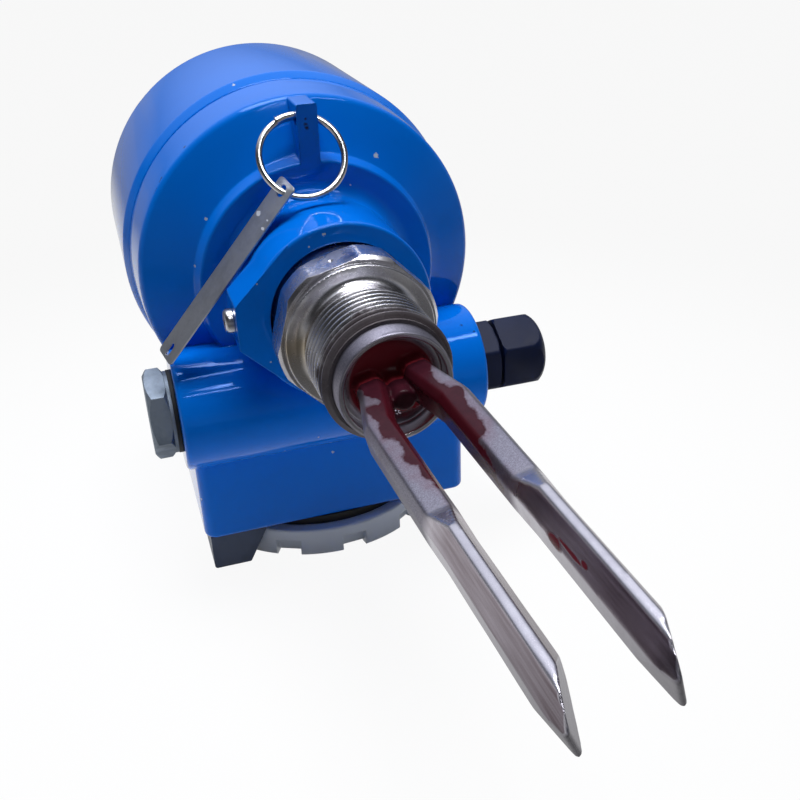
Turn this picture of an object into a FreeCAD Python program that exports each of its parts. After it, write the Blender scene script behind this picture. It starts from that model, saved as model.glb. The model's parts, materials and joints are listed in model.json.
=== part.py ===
import FreeCAD, Part
import math
import os

# Vibrating fork level switch: a cast aluminium twin-chamber housing that swivels on a
# stainless process adapter with a one-inch pipe thread and a tuning fork.
# Millimetres. +Z is up, the fork points to -Y, the cable gland is on +X.
# Stations are measured along the fork axis from the sealing face under the adapter's hexagon.
# The exported origin is on the same axis, in the middle of the pipe thread.

V = FreeCAD.Vector
ORIGIN = V(0, 0, 0)
RIGHT = V(1, 0, 0)
BACK = V(0, 1, 0)
UP = V(0, 0, 1)

# Fits
SEAT_GAP = 0.05
RUNNING_GAP = 0.06
SCREW_GAP = 0.3

# Process adapter, measured along the fork axis from its sealing face
HEX_FLATS = 41.0
HEX_CORNERS = 43.6
HEX_LENGTH = 10.0
HEX_CLOCK = 105.0
WASHER_RADIUS = 20.0
WASHER_HEIGHT = 1.85
PIPE_THREAD_RADIUS = 16.62
PIPE_THREAD_LENGTH = 24.3
RELIEF_DEPTH = 1.4
RELIEF_WIDTH = 5.5
JOURNAL_RADIUS = 19.2
JOURNAL_LENGTH = 18.0
TAIL_RADIUS = 16.2
ADAPTER_BORE_RADIUS = 10.5
O_RING_SECTION = 2.06
O_RING_GROOVE_WIDTH = 3.0
CLIP_THICKNESS = 1.5
CLIP_GROOVE_DEPTH = 1.3
CLIP_HEIGHT = 3.4

# Fork: a cup with a diaphragm floor and two tines
CUP_RADIUS = 14.3
CUP_RIM_RADIUS = 14.1
CUP_REACH = 29.5
CUP_RECESS = 4.5
CUP_WALL = 1.6
CUP_TAIL = 10.3
DIAPHRAGM = 1.6
FORK_CLOCK = 14.0
TINE_REACH = 104.4
TINE_SPACING = 17.7
TINE_ROOT_SPACING = 11.8
TINE_LEAN = 1.1
TINE_WIDTH = 7.0
TINE_HEIGHT = 16.0
RIDGE_WIDTH = 1.9
CHEEK_HEIGHT = 4.4
PAD_HEIGHT = 10.0
PAD_WIDTH = 4.8
PAD_LENGTH = 53.5
RAMP_LENGTH = 9.5
TIP_SLOPE = 2.82
NIB_SLOPE = 5.5
NIB_INSET = 2.95
TIP_ROUND = 0.6
STUB_RADIUS = 2.7
STUB_LENGTH = 11.0

# Drive behind the diaphragm
STUD_RADIUS = 2.5
DISC_RADIUS = 8.5
DISC_HOLE_RADIUS = 2.8
DISC_THICKNESS = 2.4
DISC_COUNT = 4
INSULATOR_THICKNESS = 2.0
DRIVE_NUT_FLATS = 8.0
DRIVE_NUT_LENGTH = 4.0

# Main chamber of the housing
NECK_RADIUS = 25.5
NECK_FRONT = 18.1
LUG_REACH = 29.3
LUG_FLAT = 12.5
LUG_LENGTH = 14.0
BODY_RADIUS = 52.3
BODY_FRONT = 50.0
BODY_LENGTH = 26.0
SHOULDER_RADIUS = 51.1
SHOULDER_SLOPE = 7.6
BODY_EDGE = 3.0
BOSS_RADIUS = 36.3
BOSS_TOP_RADIUS = 35.0
BOSS_HEIGHT = 4.2
NECK_FILLET = 4.5
FLOOR_THICKNESS = 10.0
POT_RADIUS = 44.5
COVER_THREAD_RADIUS = 47.5
COVER_THREAD_LENGTH = 17.0
RIB_WIDTH = 5.8
RIB_TOP = 50.8
RIB_HOLE_RADIUS = 1.75
RIB_HOLE_DEPTH = 2.8
RIB_HOLE_HEIGHT = 46.6

# Main cover
COVER_RADIUS = 53.9
COVER_RIM_RADIUS = 52.2
COVER_LENGTH = 67.0
COVER_RIM_LENGTH = 4.0
COVER_PLATE = 4.5
COVER_EDGE = 5.0
COVER_GAP = 0.6
COVER_SEAT_MARGIN = 4.0
COVER_NOTCHES = 4

# Barrel with the two cable entries
BARREL_RADIUS = 18.4
BARREL_OVERHANG = 2.8
BARREL_BACK = 46.3
BARREL_DROP = 35.2
BARREL_EDGE = 1.5
ENTRY_RADIUS = 10.0
PLUG_FLATS = 24.0
GLAND_FLATS = 22.0

# Terminal chamber
BOX_WIDTH = 88.4
BOX_FRONT = 43.0
BOX_WALL = 3.0
BOX_DEPTH = 79.0
BOX_TOP = 57.5
BOX_BOTTOM = 82.0
BOX_CORNER = 4.0
BOX_EDGE = 1.5
CHAMBER_RADIUS = 33.5
CHAMBER_HEIGHT = 21.0
CAP_THREAD_RADIUS = 37.2
CAP_THREAD_LENGTH = 9.0

# Terminal cover, a castellated screw cap
CAP_RADIUS = 43.0
CAP_GAP = 3.0
CAP_RIM = 4.0
CAP_LUG_HEIGHT = 6.0
CAP_PLATE = 3.0
CAP_NOTCHES = 12
CAP_NOTCH_ANGLE = 11.0
CAP_NOTCH_DEPTH = 3.0
CAP_NOTCH_CLOCK = -85.0
CAP_NOTCH_FLOOR = 2.4

# Cover clamp at the chamber's front left corner, placed from the cap's left and front lines
CLAMP_SIDE = 0.3
CLAMP_FRONT = 5.0
CLAMP_WIDTH = 18.5
CLAMP_FOOT = 12.0
CLAMP_HEIGHT = 12.4
CLAMP_SCREW_RADIUS = 2.0
CLAMP_SCREW_INSET = 4.6
CLAMP_SCREW_GRIP = 5.1
CLAMP_SCREW_SINK = 3.5
CLAMP_HOLE_DEPTH = 9.0
CLAMP_BOSS_WALL = 2.5

# Cable gland and blind plug
GASKET_THICKNESS = 1.2
GLAND_BASE = 6.0
GLAND_SHANK = 12.0
GLAND_SPIGOT_RADIUS = 8.8
GLAND_SPIGOT = 10.0
GLAND_BORE_RADIUS = 7.0
GLAND_NUT_LENGTH = 15.6
GLAND_NUT_GAP = 1.0
GLAND_DOME = 6.0
CABLE_RADIUS = 5.0
PLUG_FLANGE = 1.0
PLUG_HEAD = 6.0
PLUG_SHANK = 11.0

# Tag and its ring
RING_RADIUS = 11.8
RING_WIRE = 0.7
RING_TILT = 36.0
RING_ROLL = 15.0
RING_SLACK = 0.4
TAG_ANGLE = -39.0
TAG_LENGTH = 61.0
TAG_WIDTH = 8.6
TAG_THICKNESS = 0.5
TAG_HOLE_RADIUS = 1.8
TAG_MARGIN = 3.0
TAG_TOE = V(-47.25, 38.4, -12.75)
TAG_TWIST = -18.0

# Electronics, terminals and small screws
INSERT_CLEARANCE = 2.5
INSERT_STEP = 8.0
INSERT_FLANGE = 3.0
INSERT_HEIGHT = 32.0
POST_HEIGHT = 7.0
POST_INSET = 7.0
POST_RADIUS = 4.0
SMALL_SCREW_RADIUS = 1.9
SMALL_HEAD_RADIUS = 3.5
SMALL_HEAD = 2.4
SWITCH_WIDTH = 2.6
SWITCH_TRAVEL = 2.2
SWITCH_PITCH = 9.0
TERMINAL_COUNT = 5
TERMINAL_PITCH = 8.0
TERMINAL_DEPTH = 14.0
TERMINAL_HEIGHT = 11.0
TERMINAL_POCKET = 5.0
FEEDTHROUGH_RADIUS = 6.0
FEEDTHROUGH_FLANGE = 2.0
COLLAR_SCREW_RADIUS = 2.5
COLLAR_HEAD_RADIUS = 3.4
COLLAR_HEAD = 2.4

# Stations along the fork axis that several pieces share
thread_middle = -(RELIEF_WIDTH + PIPE_THREAD_LENGTH) / 2
hex_front = WASHER_HEIGHT
hex_back = hex_front + HEX_LENGTH
journal_end = hex_back + JOURNAL_LENGTH
boss_front = BODY_FRONT - BOSS_HEIGHT
pot_floor = BODY_FRONT + FLOOR_THICKNESS
shoulder_back = BODY_FRONT + SHOULDER_SLOPE
body_back = BODY_FRONT + BODY_LENGTH
thread_back = body_back + COVER_THREAD_LENGTH
cover_front = body_back + COVER_GAP
cover_back = cover_front + COVER_LENGTH
tail_end = pot_floor + SEAT_GAP + CLIP_THICKNESS + 2.5
diaphragm_front = CUP_RECESS - CUP_REACH
diaphragm_back = diaphragm_front + DIAPHRAGM
cup_back = CUP_TAIL - PIPE_THREAD_LENGTH
neck_bore = JOURNAL_RADIUS + RUNNING_GAP
tail_bore = TAIL_RADIUS + RUNNING_GAP
o_ring_outer = tail_bore - SEAT_GAP
o_ring_floor = o_ring_outer - O_RING_SECTION - SEAT_GAP
barrel_reach = BOX_WIDTH / 2 + BARREL_OVERHANG
barrel_centre = V(0, BARREL_BACK, -BARREL_DROP)
chamber_back = BOX_FRONT + BOX_DEPTH / 2
clamp_left = CLAMP_SIDE - CAP_RADIUS
clamp_front = chamber_back - CAP_RADIUS + CLAMP_FRONT
chamber_roof = CHAMBER_HEIGHT - BOX_BOTTOM
feedthrough_back = chamber_back - TERMINAL_DEPTH / 2 - FEEDTHROUGH_RADIUS - FEEDTHROUGH_FLANGE - 0.5
cap_rim_top = -BOX_BOTTOM - CAP_GAP
cap_bottom = cap_rim_top - CAP_RIM - CAP_LUG_HEIGHT
insert_seat = pot_floor + POST_HEIGHT
insert_flange_radius = POT_RADIUS - INSERT_CLEARANCE
insert_radius = insert_flange_radius - INSERT_STEP
post_circle = POT_RADIUS - POST_INSET
insert_front = insert_seat + SEAT_GAP
insert_top = insert_front + INSERT_FLANGE + INSERT_HEIGHT
lug_middle = NECK_FRONT + LUG_LENGTH / 2


def outline(corners, place):
    """Closed wire through (u, v) or (u, v, radius) corners, set in space by place(point)."""
    spans = []
    for index, corner in enumerate(corners):
        here = V(corner[0], corner[1], 0)
        radius = corner[2] if len(corner) > 2 else 0
        if not radius:
            spans.append([here])
            continue
        following = corners[(index + 1) % len(corners)]
        to_last = (V(corners[index - 1][0], corners[index - 1][1], 0) - here).normalize()
        to_next = (V(following[0], following[1], 0) - here).normalize()
        half = to_last.getAngle(to_next) / 2
        reach = radius / math.tan(half)
        middle = (to_last + to_next).normalize() * (radius / math.sin(half) - radius)
        spans.append([here + to_last * reach, here + middle, here + to_next * reach])
    edges = []
    for index, span in enumerate(spans):
        if len(span) == 3:
            edges.append(Part.Arc(place(span[0]), place(span[1]), place(span[2])).toShape())
        start = place(span[-1])
        end = place(spans[(index + 1) % len(spans)][0])
        if start.distanceToPoint(end) > 1e-6:
            edges.append(Part.makeLine(start, end))
    return Part.Wire(edges)


def turned(corners, base=ORIGIN, axis=BACK):
    """Solid of revolution from (radius, distance along the axis) corners."""
    side = UP.cross(axis) if abs(axis.dot(UP)) < 0.9 else RIGHT
    side.normalize()
    wire = outline(corners, lambda p: base + side * p.x + axis * p.y)
    return Part.Face(wire).revolve(base, axis, 360)


def prism(corners, origin, across, upward, depth):
    """Outline in the plane of across and upward, drawn along their cross product."""
    wire = outline(corners, lambda p: origin + across * p.x + upward * p.y)
    return Part.Face(wire).extrude(across.cross(upward) * depth)


def rod(radius, base, tip):
    return Part.makeCylinder(radius, base.distanceToPoint(tip), base, tip - base)


def tube(outer, inner, base, tip):
    return rod(outer, base, tip).cut(rod(inner, base, tip))


def hexagon(flats, base, tip, clock=0):
    """Hexagonal bar from base to tip; clock turns the first flat about the bar."""
    axis = (tip - base).normalize()
    across = UP.cross(axis) if abs(axis.dot(UP)) < 0.9 else RIGHT
    across.normalize()
    upward = axis.cross(across)
    radius = flats / math.sqrt(3)
    turn = math.radians(clock)
    points = [turn + math.pi / 6 + n * math.pi / 3 for n in range(6)]
    corners = [(radius * math.cos(a), radius * math.sin(a)) for a in points]
    return prism(corners, base, across, upward, base.distanceToPoint(tip))


def polar(radius, degrees, along):
    """Point about the fork axis, the angle counted from +X towards +Z."""
    angle = math.radians(degrees)
    return V(radius * math.cos(angle), along, radius * math.sin(angle))


def pan_screw(base, inward, shank, radius, head_radius, head):
    """Pan-head screw with a cross slot; base lies under the head, inward runs into the hole."""
    top = -head
    rounding = head * 0.45
    body = turned([(0, shank), (radius, shank), (radius, 0), (head_radius, 0),
                   (head_radius, top, rounding), (0, top)], base, inward)
    slot = head_radius * 0.3
    across = UP.cross(inward) if abs(inward.dot(UP)) < 0.9 else RIGHT
    upward = inward.cross(across)
    mouth = base + inward * top
    for one, two in ((across, upward), (upward, across)):
        arm = prism([(-2 * slot, -slot / 2), (2 * slot, -slot / 2), (2 * slot, slot / 2),
                     (-2 * slot, slot / 2)], mouth, one, two, head * 0.5 * one.cross(two).dot(inward))
        body = body.cut(arm)
    return body


def housing():
    """One casting: swivel neck, main pot, tag rib, cable barrel and terminal chamber."""
    shell = turned([(neck_bore, NECK_FRONT), (NECK_RADIUS, NECK_FRONT, 1),
                    (NECK_RADIUS, boss_front, NECK_FILLET), (BOSS_TOP_RADIUS, boss_front, 1),
                    (BOSS_RADIUS, BODY_FRONT, 1), (SHOULDER_RADIUS, shoulder_back, BODY_EDGE),
                    (BODY_RADIUS, body_back, 0.5), (COVER_THREAD_RADIUS, body_back),
                    (COVER_THREAD_RADIUS, thread_back, 1), (POT_RADIUS, thread_back),
                    (POT_RADIUS, pot_floor, 2), (tail_bore, pot_floor),
                    (tail_bore, journal_end), (neck_bore, journal_end)])
    for part in (locking_lug(), rib(), barrel(), chamber(), clamp_boss()):
        shell = shell.fuse(part)
    for angle in (90, 210, 330):
        post = rod(POST_RADIUS, polar(post_circle, angle, pot_floor - 1),
                   polar(post_circle, angle, insert_seat))
        hole = rod(SMALL_SCREW_RADIUS, polar(post_circle, angle, pot_floor - 2),
                   polar(post_circle, angle, insert_seat))
        shell = shell.fuse(post).cut(hole)
    for cut in housing_cuts():
        shell = shell.cut(cut)
    return shell.removeSplitter()


def locking_lug():
    tangent = NECK_RADIUS * 0.84
    inset = math.sqrt(NECK_RADIUS ** 2 - tangent ** 2)
    lug = prism([(-inset, -tangent), (-LUG_REACH, -LUG_FLAT / 2, 1), (-LUG_REACH, LUG_FLAT / 2, 1),
                 (-inset, tangent)], V(0, NECK_FRONT + LUG_LENGTH, 0), RIGHT, UP, LUG_LENGTH)
    return lug.cut(rod(JOURNAL_RADIUS + 1, ORIGIN, BACK * BODY_FRONT))


def rib():
    half = RIB_WIDTH / 2
    foot = BOSS_TOP_RADIUS - 3
    bar = prism([(-half, foot), (half, foot), (half, RIB_TOP, 0.6), (-half, RIB_TOP, 0.6)],
                V(0, shoulder_back, 0), RIGHT, UP, shoulder_back - boss_front)
    eye = rib_eye()
    return bar.cut(rod(RIB_HOLE_RADIUS, eye - RIGHT * RIB_WIDTH, eye + RIGHT * RIB_WIDTH))


def rib_eye():
    return V(0, boss_front + RIB_HOLE_DEPTH, RIB_HOLE_HEIGHT)


def barrel():
    ends = barrel_reach
    drum = turned([(0, -ends), (BARREL_RADIUS, -ends, BARREL_EDGE),
                   (BARREL_RADIUS, ends, BARREL_EDGE), (0, ends)], barrel_centre, RIGHT)
    return drum.cut(rod(POT_RADIUS, BACK * pot_floor, BACK * (pot_floor + BARREL_RADIUS)))


def chamber():
    half = BOX_WIDTH / 2
    back = BOX_FRONT + BOX_DEPTH
    plan = [(-half, BOX_FRONT, BOX_CORNER), (half, BOX_FRONT, BOX_CORNER),
            (half, back, BOX_CORNER), (-half, back, BOX_CORNER)]
    box = prism(plan, UP * -BOX_BOTTOM, RIGHT, BACK, BOX_BOTTOM - BOX_TOP)
    rims = [edge for edge in box.Edges if edge.BoundBox.ZLength < 0.01]
    box = box.makeFillet(BOX_EDGE, rims)
    web_plan = [(-half, BOX_FRONT, BOX_CORNER), (half, BOX_FRONT, BOX_CORNER),
                (half, body_back - 1, 2), (-half, body_back - 1, 2)]
    web = prism(web_plan, UP * (-BOX_TOP - BOX_EDGE * 2), RIGHT, BACK,
                BOX_TOP + BOX_EDGE * 2 - BARREL_DROP - BARREL_RADIUS / 3)
    spigot = rod(CAP_THREAD_RADIUS, V(0, chamber_back, -BOX_BOTTOM + 2),
                 V(0, chamber_back, -BOX_BOTTOM - CAP_THREAD_LENGTH))
    web = web.cut(rod(POT_RADIUS, BACK * pot_floor, BACK * thread_back))
    return box.fuse(web).fuse(spigot)


def housing_cuts():
    mouth = -BOX_BOTTOM - CAP_THREAD_LENGTH
    cuts = [rod(CHAMBER_RADIUS, V(0, chamber_back, mouth), V(0, chamber_back, chamber_roof))]
    reach = RIGHT * (barrel_reach + 1)
    cuts.append(rod(ENTRY_RADIUS, barrel_centre - reach, barrel_centre + reach))
    slot_front = BOX_FRONT + BOX_WALL
    slot_back = chamber_back - CHAMBER_RADIUS + 8
    slot = [(-CHAMBER_RADIUS / 2, slot_front, 3), (CHAMBER_RADIUS / 2, slot_front, 3),
            (CHAMBER_RADIUS / 2, slot_back, 3), (-CHAMBER_RADIUS / 2, slot_back, 3)]
    cuts.append(prism(slot, UP * (chamber_roof - 1), RIGHT, BACK, -chamber_roof + 1 - BARREL_DROP))
    cuts.append(rod(FEEDTHROUGH_RADIUS, V(0, feedthrough_back, chamber_roof - 1),
                    V(0, feedthrough_back, -POT_RADIUS + 1)))
    cuts.append(rod(COLLAR_SCREW_RADIUS, V(-LUG_REACH - 1, lug_middle, 0),
                    V(-JOURNAL_RADIUS + 1, lug_middle, 0)))
    cuts.append(rod(CLAMP_SCREW_RADIUS, clamp_hole(-BOX_BOTTOM - 1),
                    clamp_hole(-BOX_BOTTOM + CLAMP_HOLE_DEPTH)))
    for x in (-1, 1):
        cuts.append(rod(SMALL_SCREW_RADIUS, block_hole(x, chamber_roof - 1), block_hole(x, chamber_roof + 3)))
    cuts.append(rod(SMALL_SCREW_RADIUS, earth_hole(chamber_roof - 1), earth_hole(chamber_roof + 3)))
    return cuts


def block_hole(side, height):
    return V(side * (TERMINAL_COUNT + 0.9) * TERMINAL_PITCH / 2, chamber_back, height)


def earth_hole(height):
    return V(0, chamber_back + CHAMBER_RADIUS * 0.7, height)


def clamp_hole(height):
    return V(clamp_left + CLAMP_SCREW_INSET, clamp_front + CLAMP_SCREW_INSET, height)


def clamp_boss():
    """Boss round the clamp's screw hole, within the chamber's corner unless the cap outgrows it."""
    top = -BOX_BOTTOM + CLAMP_HOLE_DEPTH + CLAMP_BOSS_WALL
    return rod(CLAMP_SCREW_RADIUS + CLAMP_BOSS_WALL, clamp_hole(-BOX_BOTTOM), clamp_hole(top))


def main_cover():
    """Deep screw cap with a conical rim, a domed edge and a recessed end with spanner notches."""
    bore = COVER_THREAD_RADIUS + SCREW_GAP
    seat = cover_front + COVER_THREAD_LENGTH + COVER_SEAT_MARGIN
    inside = cover_back - COVER_PLATE
    cap = turned([(bore, cover_front), (COVER_RIM_RADIUS, cover_front, 0.5),
                  (COVER_RADIUS, cover_front + COVER_RIM_LENGTH, 3), (COVER_RADIUS, cover_back, COVER_EDGE),
                  (COVER_RADIUS * 0.72, cover_back, 1), (COVER_RADIUS * 0.7, cover_back - 1.5, 1),
                  (0, cover_back - 1.5), (0, inside), (bore - 2, inside, 3), (bore - 2, seat), (bore, seat)])
    pocket = turned([(bore, cover_front - 1), (bore + 2.6, cover_front - 1), (bore + 2.6, cover_front + 2.6),
                     (bore, cover_front + 2.6)])
    cap = cap.cut(pocket)
    for number in range(COVER_NOTCHES):
        angle = 45 + number * 360 / COVER_NOTCHES
        cap = cap.cut(rod(4, polar(COVER_RADIUS * 0.72, angle, cover_back - 1.5),
                          polar(COVER_RADIUS * 0.72, angle, cover_back + 1)))
    return cap


def main_cover_o_ring():
    section = 1.15
    radius = COVER_THREAD_RADIUS + SCREW_GAP + section + SEAT_GAP
    return Part.makeTorus(radius, section, BACK * (body_back + section + SEAT_GAP), BACK)


def process_adapter():
    """Turned stainless body: pipe thread, hexagon and the journal that the housing swivels on."""
    relief = PIPE_THREAD_RADIUS - RELIEF_DEPTH
    seat = CUP_RADIUS + SEAT_GAP
    end = -PIPE_THREAD_LENGTH
    body = turned([(seat, end), (PIPE_THREAD_RADIUS - 1.2, end), (PIPE_THREAD_RADIUS, end + 1.2),
                   (PIPE_THREAD_RADIUS, -RELIEF_WIDTH), (relief, 0.9 - RELIEF_WIDTH),
                   (relief, 0, 2.4), (WASHER_RADIUS, 0, 0.4), (WASHER_RADIUS, hex_back),
                   (JOURNAL_RADIUS, hex_back), (JOURNAL_RADIUS, journal_end - SEAT_GAP, 0.5),
                   (TAIL_RADIUS, journal_end - SEAT_GAP), (TAIL_RADIUS, tail_end, 0.8),
                   (ADAPTER_BORE_RADIUS, tail_end), (ADAPTER_BORE_RADIUS, cup_back + SEAT_GAP),
                   (seat, cup_back + SEAT_GAP)])
    hex_bar = hexagon(HEX_FLATS, BACK * hex_front, BACK * hex_back, -HEX_CLOCK)
    corner = HEX_CORNERS / 2
    blank = turned([(WASHER_RADIUS - 1, hex_front), (corner - 0.9, hex_front), (corner, hex_front + 0.9),
                    (corner, hex_back - 0.9), (corner - 0.9, hex_back), (WASHER_RADIUS - 1, hex_back)])
    body = body.fuse(hex_bar.common(blank))
    punch = polar(HEX_FLATS / 2 + 0.1, HEX_CLOCK, hex_front + HEX_LENGTH / 2)
    inward = polar(-1, HEX_CLOCK, 0)
    body = body.cut(Part.makeCone(1.0, 0.1, 0.8, punch, inward))
    half_groove = BACK * (O_RING_GROOVE_WIDTH / 2)
    for station in o_ring_stations():
        middle = BACK * station
        body = body.cut(tube(TAIL_RADIUS + 1, o_ring_floor, middle - half_groove, middle + half_groove))
    clip = TAIL_RADIUS - CLIP_GROOVE_DEPTH
    body = body.cut(tube(TAIL_RADIUS + 1, clip, BACK * pot_floor, BACK * (pot_floor + CLIP_THICKNESS + 0.1)))
    return body.removeSplitter()


def o_ring_stations():
    span = pot_floor - journal_end
    return [journal_end + span * share for share in (0.3, 0.6)]


def neck_o_rings():
    section = O_RING_SECTION / 2
    rings = [Part.makeTorus(o_ring_outer - section, section, BACK * y, BACK) for y in o_ring_stations()]
    return Part.makeCompound(rings)


def retaining_ring():
    """Open spring clip in the adapter's groove, seated on the floor of the pot."""
    inner = TAIL_RADIUS - CLIP_GROOVE_DEPTH + SEAT_GAP
    front = BACK * (pot_floor + SEAT_GAP)
    clip = tube(inner + CLIP_HEIGHT, inner, front, front + BACK * (CLIP_THICKNESS - SEAT_GAP))
    gap = math.radians(14)
    far = inner + CLIP_HEIGHT + 2
    wedge = prism([(0, 0), (far * math.sin(gap), -far), (-far * math.sin(gap), -far)],
                  front + BACK * 4, RIGHT, UP, 6)
    return clip.cut(wedge)


def fork():
    """Cup, diaphragm and two slender tines, cast and ground as one piece."""
    rim = -CUP_REACH
    inner = CUP_RADIUS - CUP_WALL
    web = inner - 1.2
    cup = turned([(web, cup_back), (CUP_RADIUS, cup_back), (CUP_RADIUS, rim + 2), (CUP_RIM_RADIUS, rim + 1.6),
                  (CUP_RIM_RADIUS, rim, 0.5), (inner, rim, 0.4), (inner, diaphragm_front + 0.5, 0.4),
                  (inner - 1.6, diaphragm_front + 0.5), (inner - 2, diaphragm_front), (0, diaphragm_front),
                  (0, diaphragm_back), (web, diaphragm_back, 0.5)])
    stub = turned([(0, diaphragm_front), (STUB_RADIUS + 1, diaphragm_front),
                   (STUB_RADIUS, diaphragm_front - 1.5), (STUB_RADIUS, diaphragm_front - STUB_LENGTH, 0.6),
                   (0, diaphragm_front - STUB_LENGTH)])
    whole = cup.fuse(stub)
    for side in (-1, 1):
        whole = whole.fuse(tine(side))
    whole.rotate(ORIGIN, BACK, -FORK_CLOCK)
    return whole.removeSplitter()


def tine(side):
    """Loft from a rounded root along a flat pad to a tall ridged blade, ground to a slanted point."""
    rim = -CUP_REACH
    tip = rim - TINE_REACH
    bend = rim - TINE_REACH * 0.16
    pad_end = rim - PAD_LENGTH
    root = side * TINE_ROOT_SPACING / 2
    far = side * TINE_SPACING / 2
    wide = TINE_WIDTH + 0.6
    stations = [(diaphragm_front + 0.6, root, wide - 0.6, 4.2, PAD_HEIGHT, 6.4),
                (rim - 2, root, wide - 0.6, 4.2, PAD_HEIGHT, 6.4),
                (bend, far, wide, PAD_WIDTH, PAD_HEIGHT, CHEEK_HEIGHT + 1),
                (pad_end, far, wide, PAD_WIDTH, PAD_HEIGHT, CHEEK_HEIGHT),
                (pad_end - RAMP_LENGTH, far, TINE_WIDTH, RIDGE_WIDTH, TINE_HEIGHT, CHEEK_HEIGHT),
                (tip - TINE_WIDTH * 2, far, TINE_WIDTH, RIDGE_WIDTH, TINE_HEIGHT, CHEEK_HEIGHT)]
    sections = [tine_section(*station) for station in stations]
    blade = Part.makeLoft(sections, True, True)
    end = V(far + lean_at(tip), tip, 0)
    slant = V(TIP_SLOPE, -1, 0.11).normalize()
    nib = V(-NIB_SLOPE, -1, -1.44).normalize()
    heel = end - RIGHT * NIB_INSET
    blade = blade.cut(half_space(end, slant)).cut(half_space(heel, nib))
    knife = []
    for edge in blade.Edges:
        middle = edge.CenterOfMass
        if abs((middle - end).dot(slant)) < 0.01 and abs((middle - heel).dot(nib)) < 0.01:
            knife.append(edge)
    return blade.makeFillet(TIP_ROUND, knife)


def lean_at(y):
    """Sideways drift of the tines beyond their bend; both stand a degree off the axis."""
    start = CUP_REACH + TINE_REACH * 0.16
    return max(0, -y - start) * math.tan(math.radians(TINE_LEAN))


def tine_section(y, centre, width, flat, height, cheek):
    """Eight-sided section: flats above and below, upright cheeks and slopes between them."""
    a, b, c, h = width / 2, cheek / 2, flat / 2, height / 2
    middle = centre + lean_at(y)
    corners = [(c, h), (a, b), (a, -b), (c, -h), (-c, -h), (-a, -b), (-a, b), (-c, h)]
    return outline([(u, v, 0.5) for u, v in corners], lambda p: V(middle + p.x, y, p.y))


def half_space(point, outward):
    """Large block on the outward side of a plane; outward has unit length."""
    size = TINE_REACH / 2
    across = UP.cross(outward).normalize()
    square = [(-size, -size), (size, -size), (size, size), (-size, size)]
    return prism(square, point, across, outward.cross(across), size)


def stack_stations():
    """Start and end of each ring on the drive stud, from the diaphragm backwards."""
    heights = [INSULATOR_THICKNESS] + [DISC_THICKNESS] * DISC_COUNT + [INSULATOR_THICKNESS]
    stations = []
    start = diaphragm_back + SEAT_GAP
    for height in heights:
        stations.append((start, start + height - SEAT_GAP))
        start += height
    return stations


def stack_ring(station):
    return tube(DISC_RADIUS, DISC_HOLE_RADIUS, BACK * station[0], BACK * station[1])


def piezo_discs():
    return Part.makeCompound([stack_ring(station) for station in stack_stations()[1:-1]])


def insulating_rings():
    stations = stack_stations()
    return Part.makeCompound([stack_ring(stations[0]), stack_ring(stations[-1])])


def stack_stud():
    start = diaphragm_back + SEAT_GAP
    end = stack_stations()[-1][1] + DRIVE_NUT_LENGTH + 1.5
    return turned([(0, start), (STUD_RADIUS, start), (STUD_RADIUS, end, 0.5), (0, end)])


def stack_nut():
    start = BACK * (stack_stations()[-1][1] + SEAT_GAP)
    nut = hexagon(DRIVE_NUT_FLATS, start, start + BACK * DRIVE_NUT_LENGTH)
    return nut.cut(rod(STUD_RADIUS + SEAT_GAP, start - BACK, start + BACK * (DRIVE_NUT_LENGTH + 1)))


def electronics_insert():
    """Potted module on three posts, with a terminal step, two switch slots and two lamps."""
    base = insert_front
    step = base + INSERT_FLANGE
    body = turned([(0, base), (insert_flange_radius, base, 0.5), (insert_flange_radius, step, 0.5),
                   (insert_radius, step), (insert_radius, insert_top, 2), (0, insert_top)])
    body = body.cut(rod(TAIL_RADIUS + 1, BACK * (base - 1), BACK * (base + 2)))
    step_cut = prism([(-insert_radius, -insert_radius), (insert_radius, -insert_radius),
                      (insert_radius, -insert_radius * 0.3, 1), (-insert_radius, -insert_radius * 0.3, 1)],
                     BACK * (insert_top + 1), RIGHT, UP, 11)
    body = body.cut(step_cut)
    for angle in (90, 210, 330):
        place = polar(post_circle, angle, 0)
        hole = rod(SMALL_SCREW_RADIUS + 0.2, place + BACK * (base - 1), place + BACK * (step + 1))
        recess = rod(SMALL_HEAD_RADIUS + 0.6, place + BACK * step, place + BACK * (insert_top + 1))
        body = body.cut(hole).cut(recess)
    for side in (-1, 1):
        body = body.cut(switch_slot(side))
        lamp = lamp_centre(side)
        body = body.cut(rod(1.6, lamp - BACK * 2, lamp + BACK))
    return body


def switch_centre(side):
    return V(side * SWITCH_PITCH, insert_top, insert_radius * 0.2)


def lamp_centre(side):
    return V(side * SWITCH_PITCH / 2, insert_top, insert_radius * 0.55)


def switch_slot(side):
    half_width = SWITCH_WIDTH / 2 + 0.3
    half_length = (SWITCH_WIDTH + SWITCH_TRAVEL) / 2 + 0.4
    return prism([(-half_length, -half_width), (half_length, -half_width), (half_length, half_width),
                  (-half_length, half_width)], switch_centre(side) + BACK, RIGHT, UP, 3.5)


def slide_switch(side):
    """Square slider that stands at the left end of its slot."""
    half = SWITCH_WIDTH / 2
    centre = switch_centre(side) + RIGHT * (-SWITCH_TRAVEL / 2) + BACK * 1.2
    slider = prism([(-half, -half), (half, -half), (half, half), (-half, half)], centre, RIGHT, UP, 3.65)
    return slider.cut(rod(0.5, centre - BACK, centre + BACK))


def status_lamps():
    lamps = []
    for side in (-1, 1):
        lamps.append(turned([(0, -2), (1.5, -2), (1.5, 0.6, 0.8), (0, 0.6)], lamp_centre(side), BACK))
    return Part.makeCompound(lamps)


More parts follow.
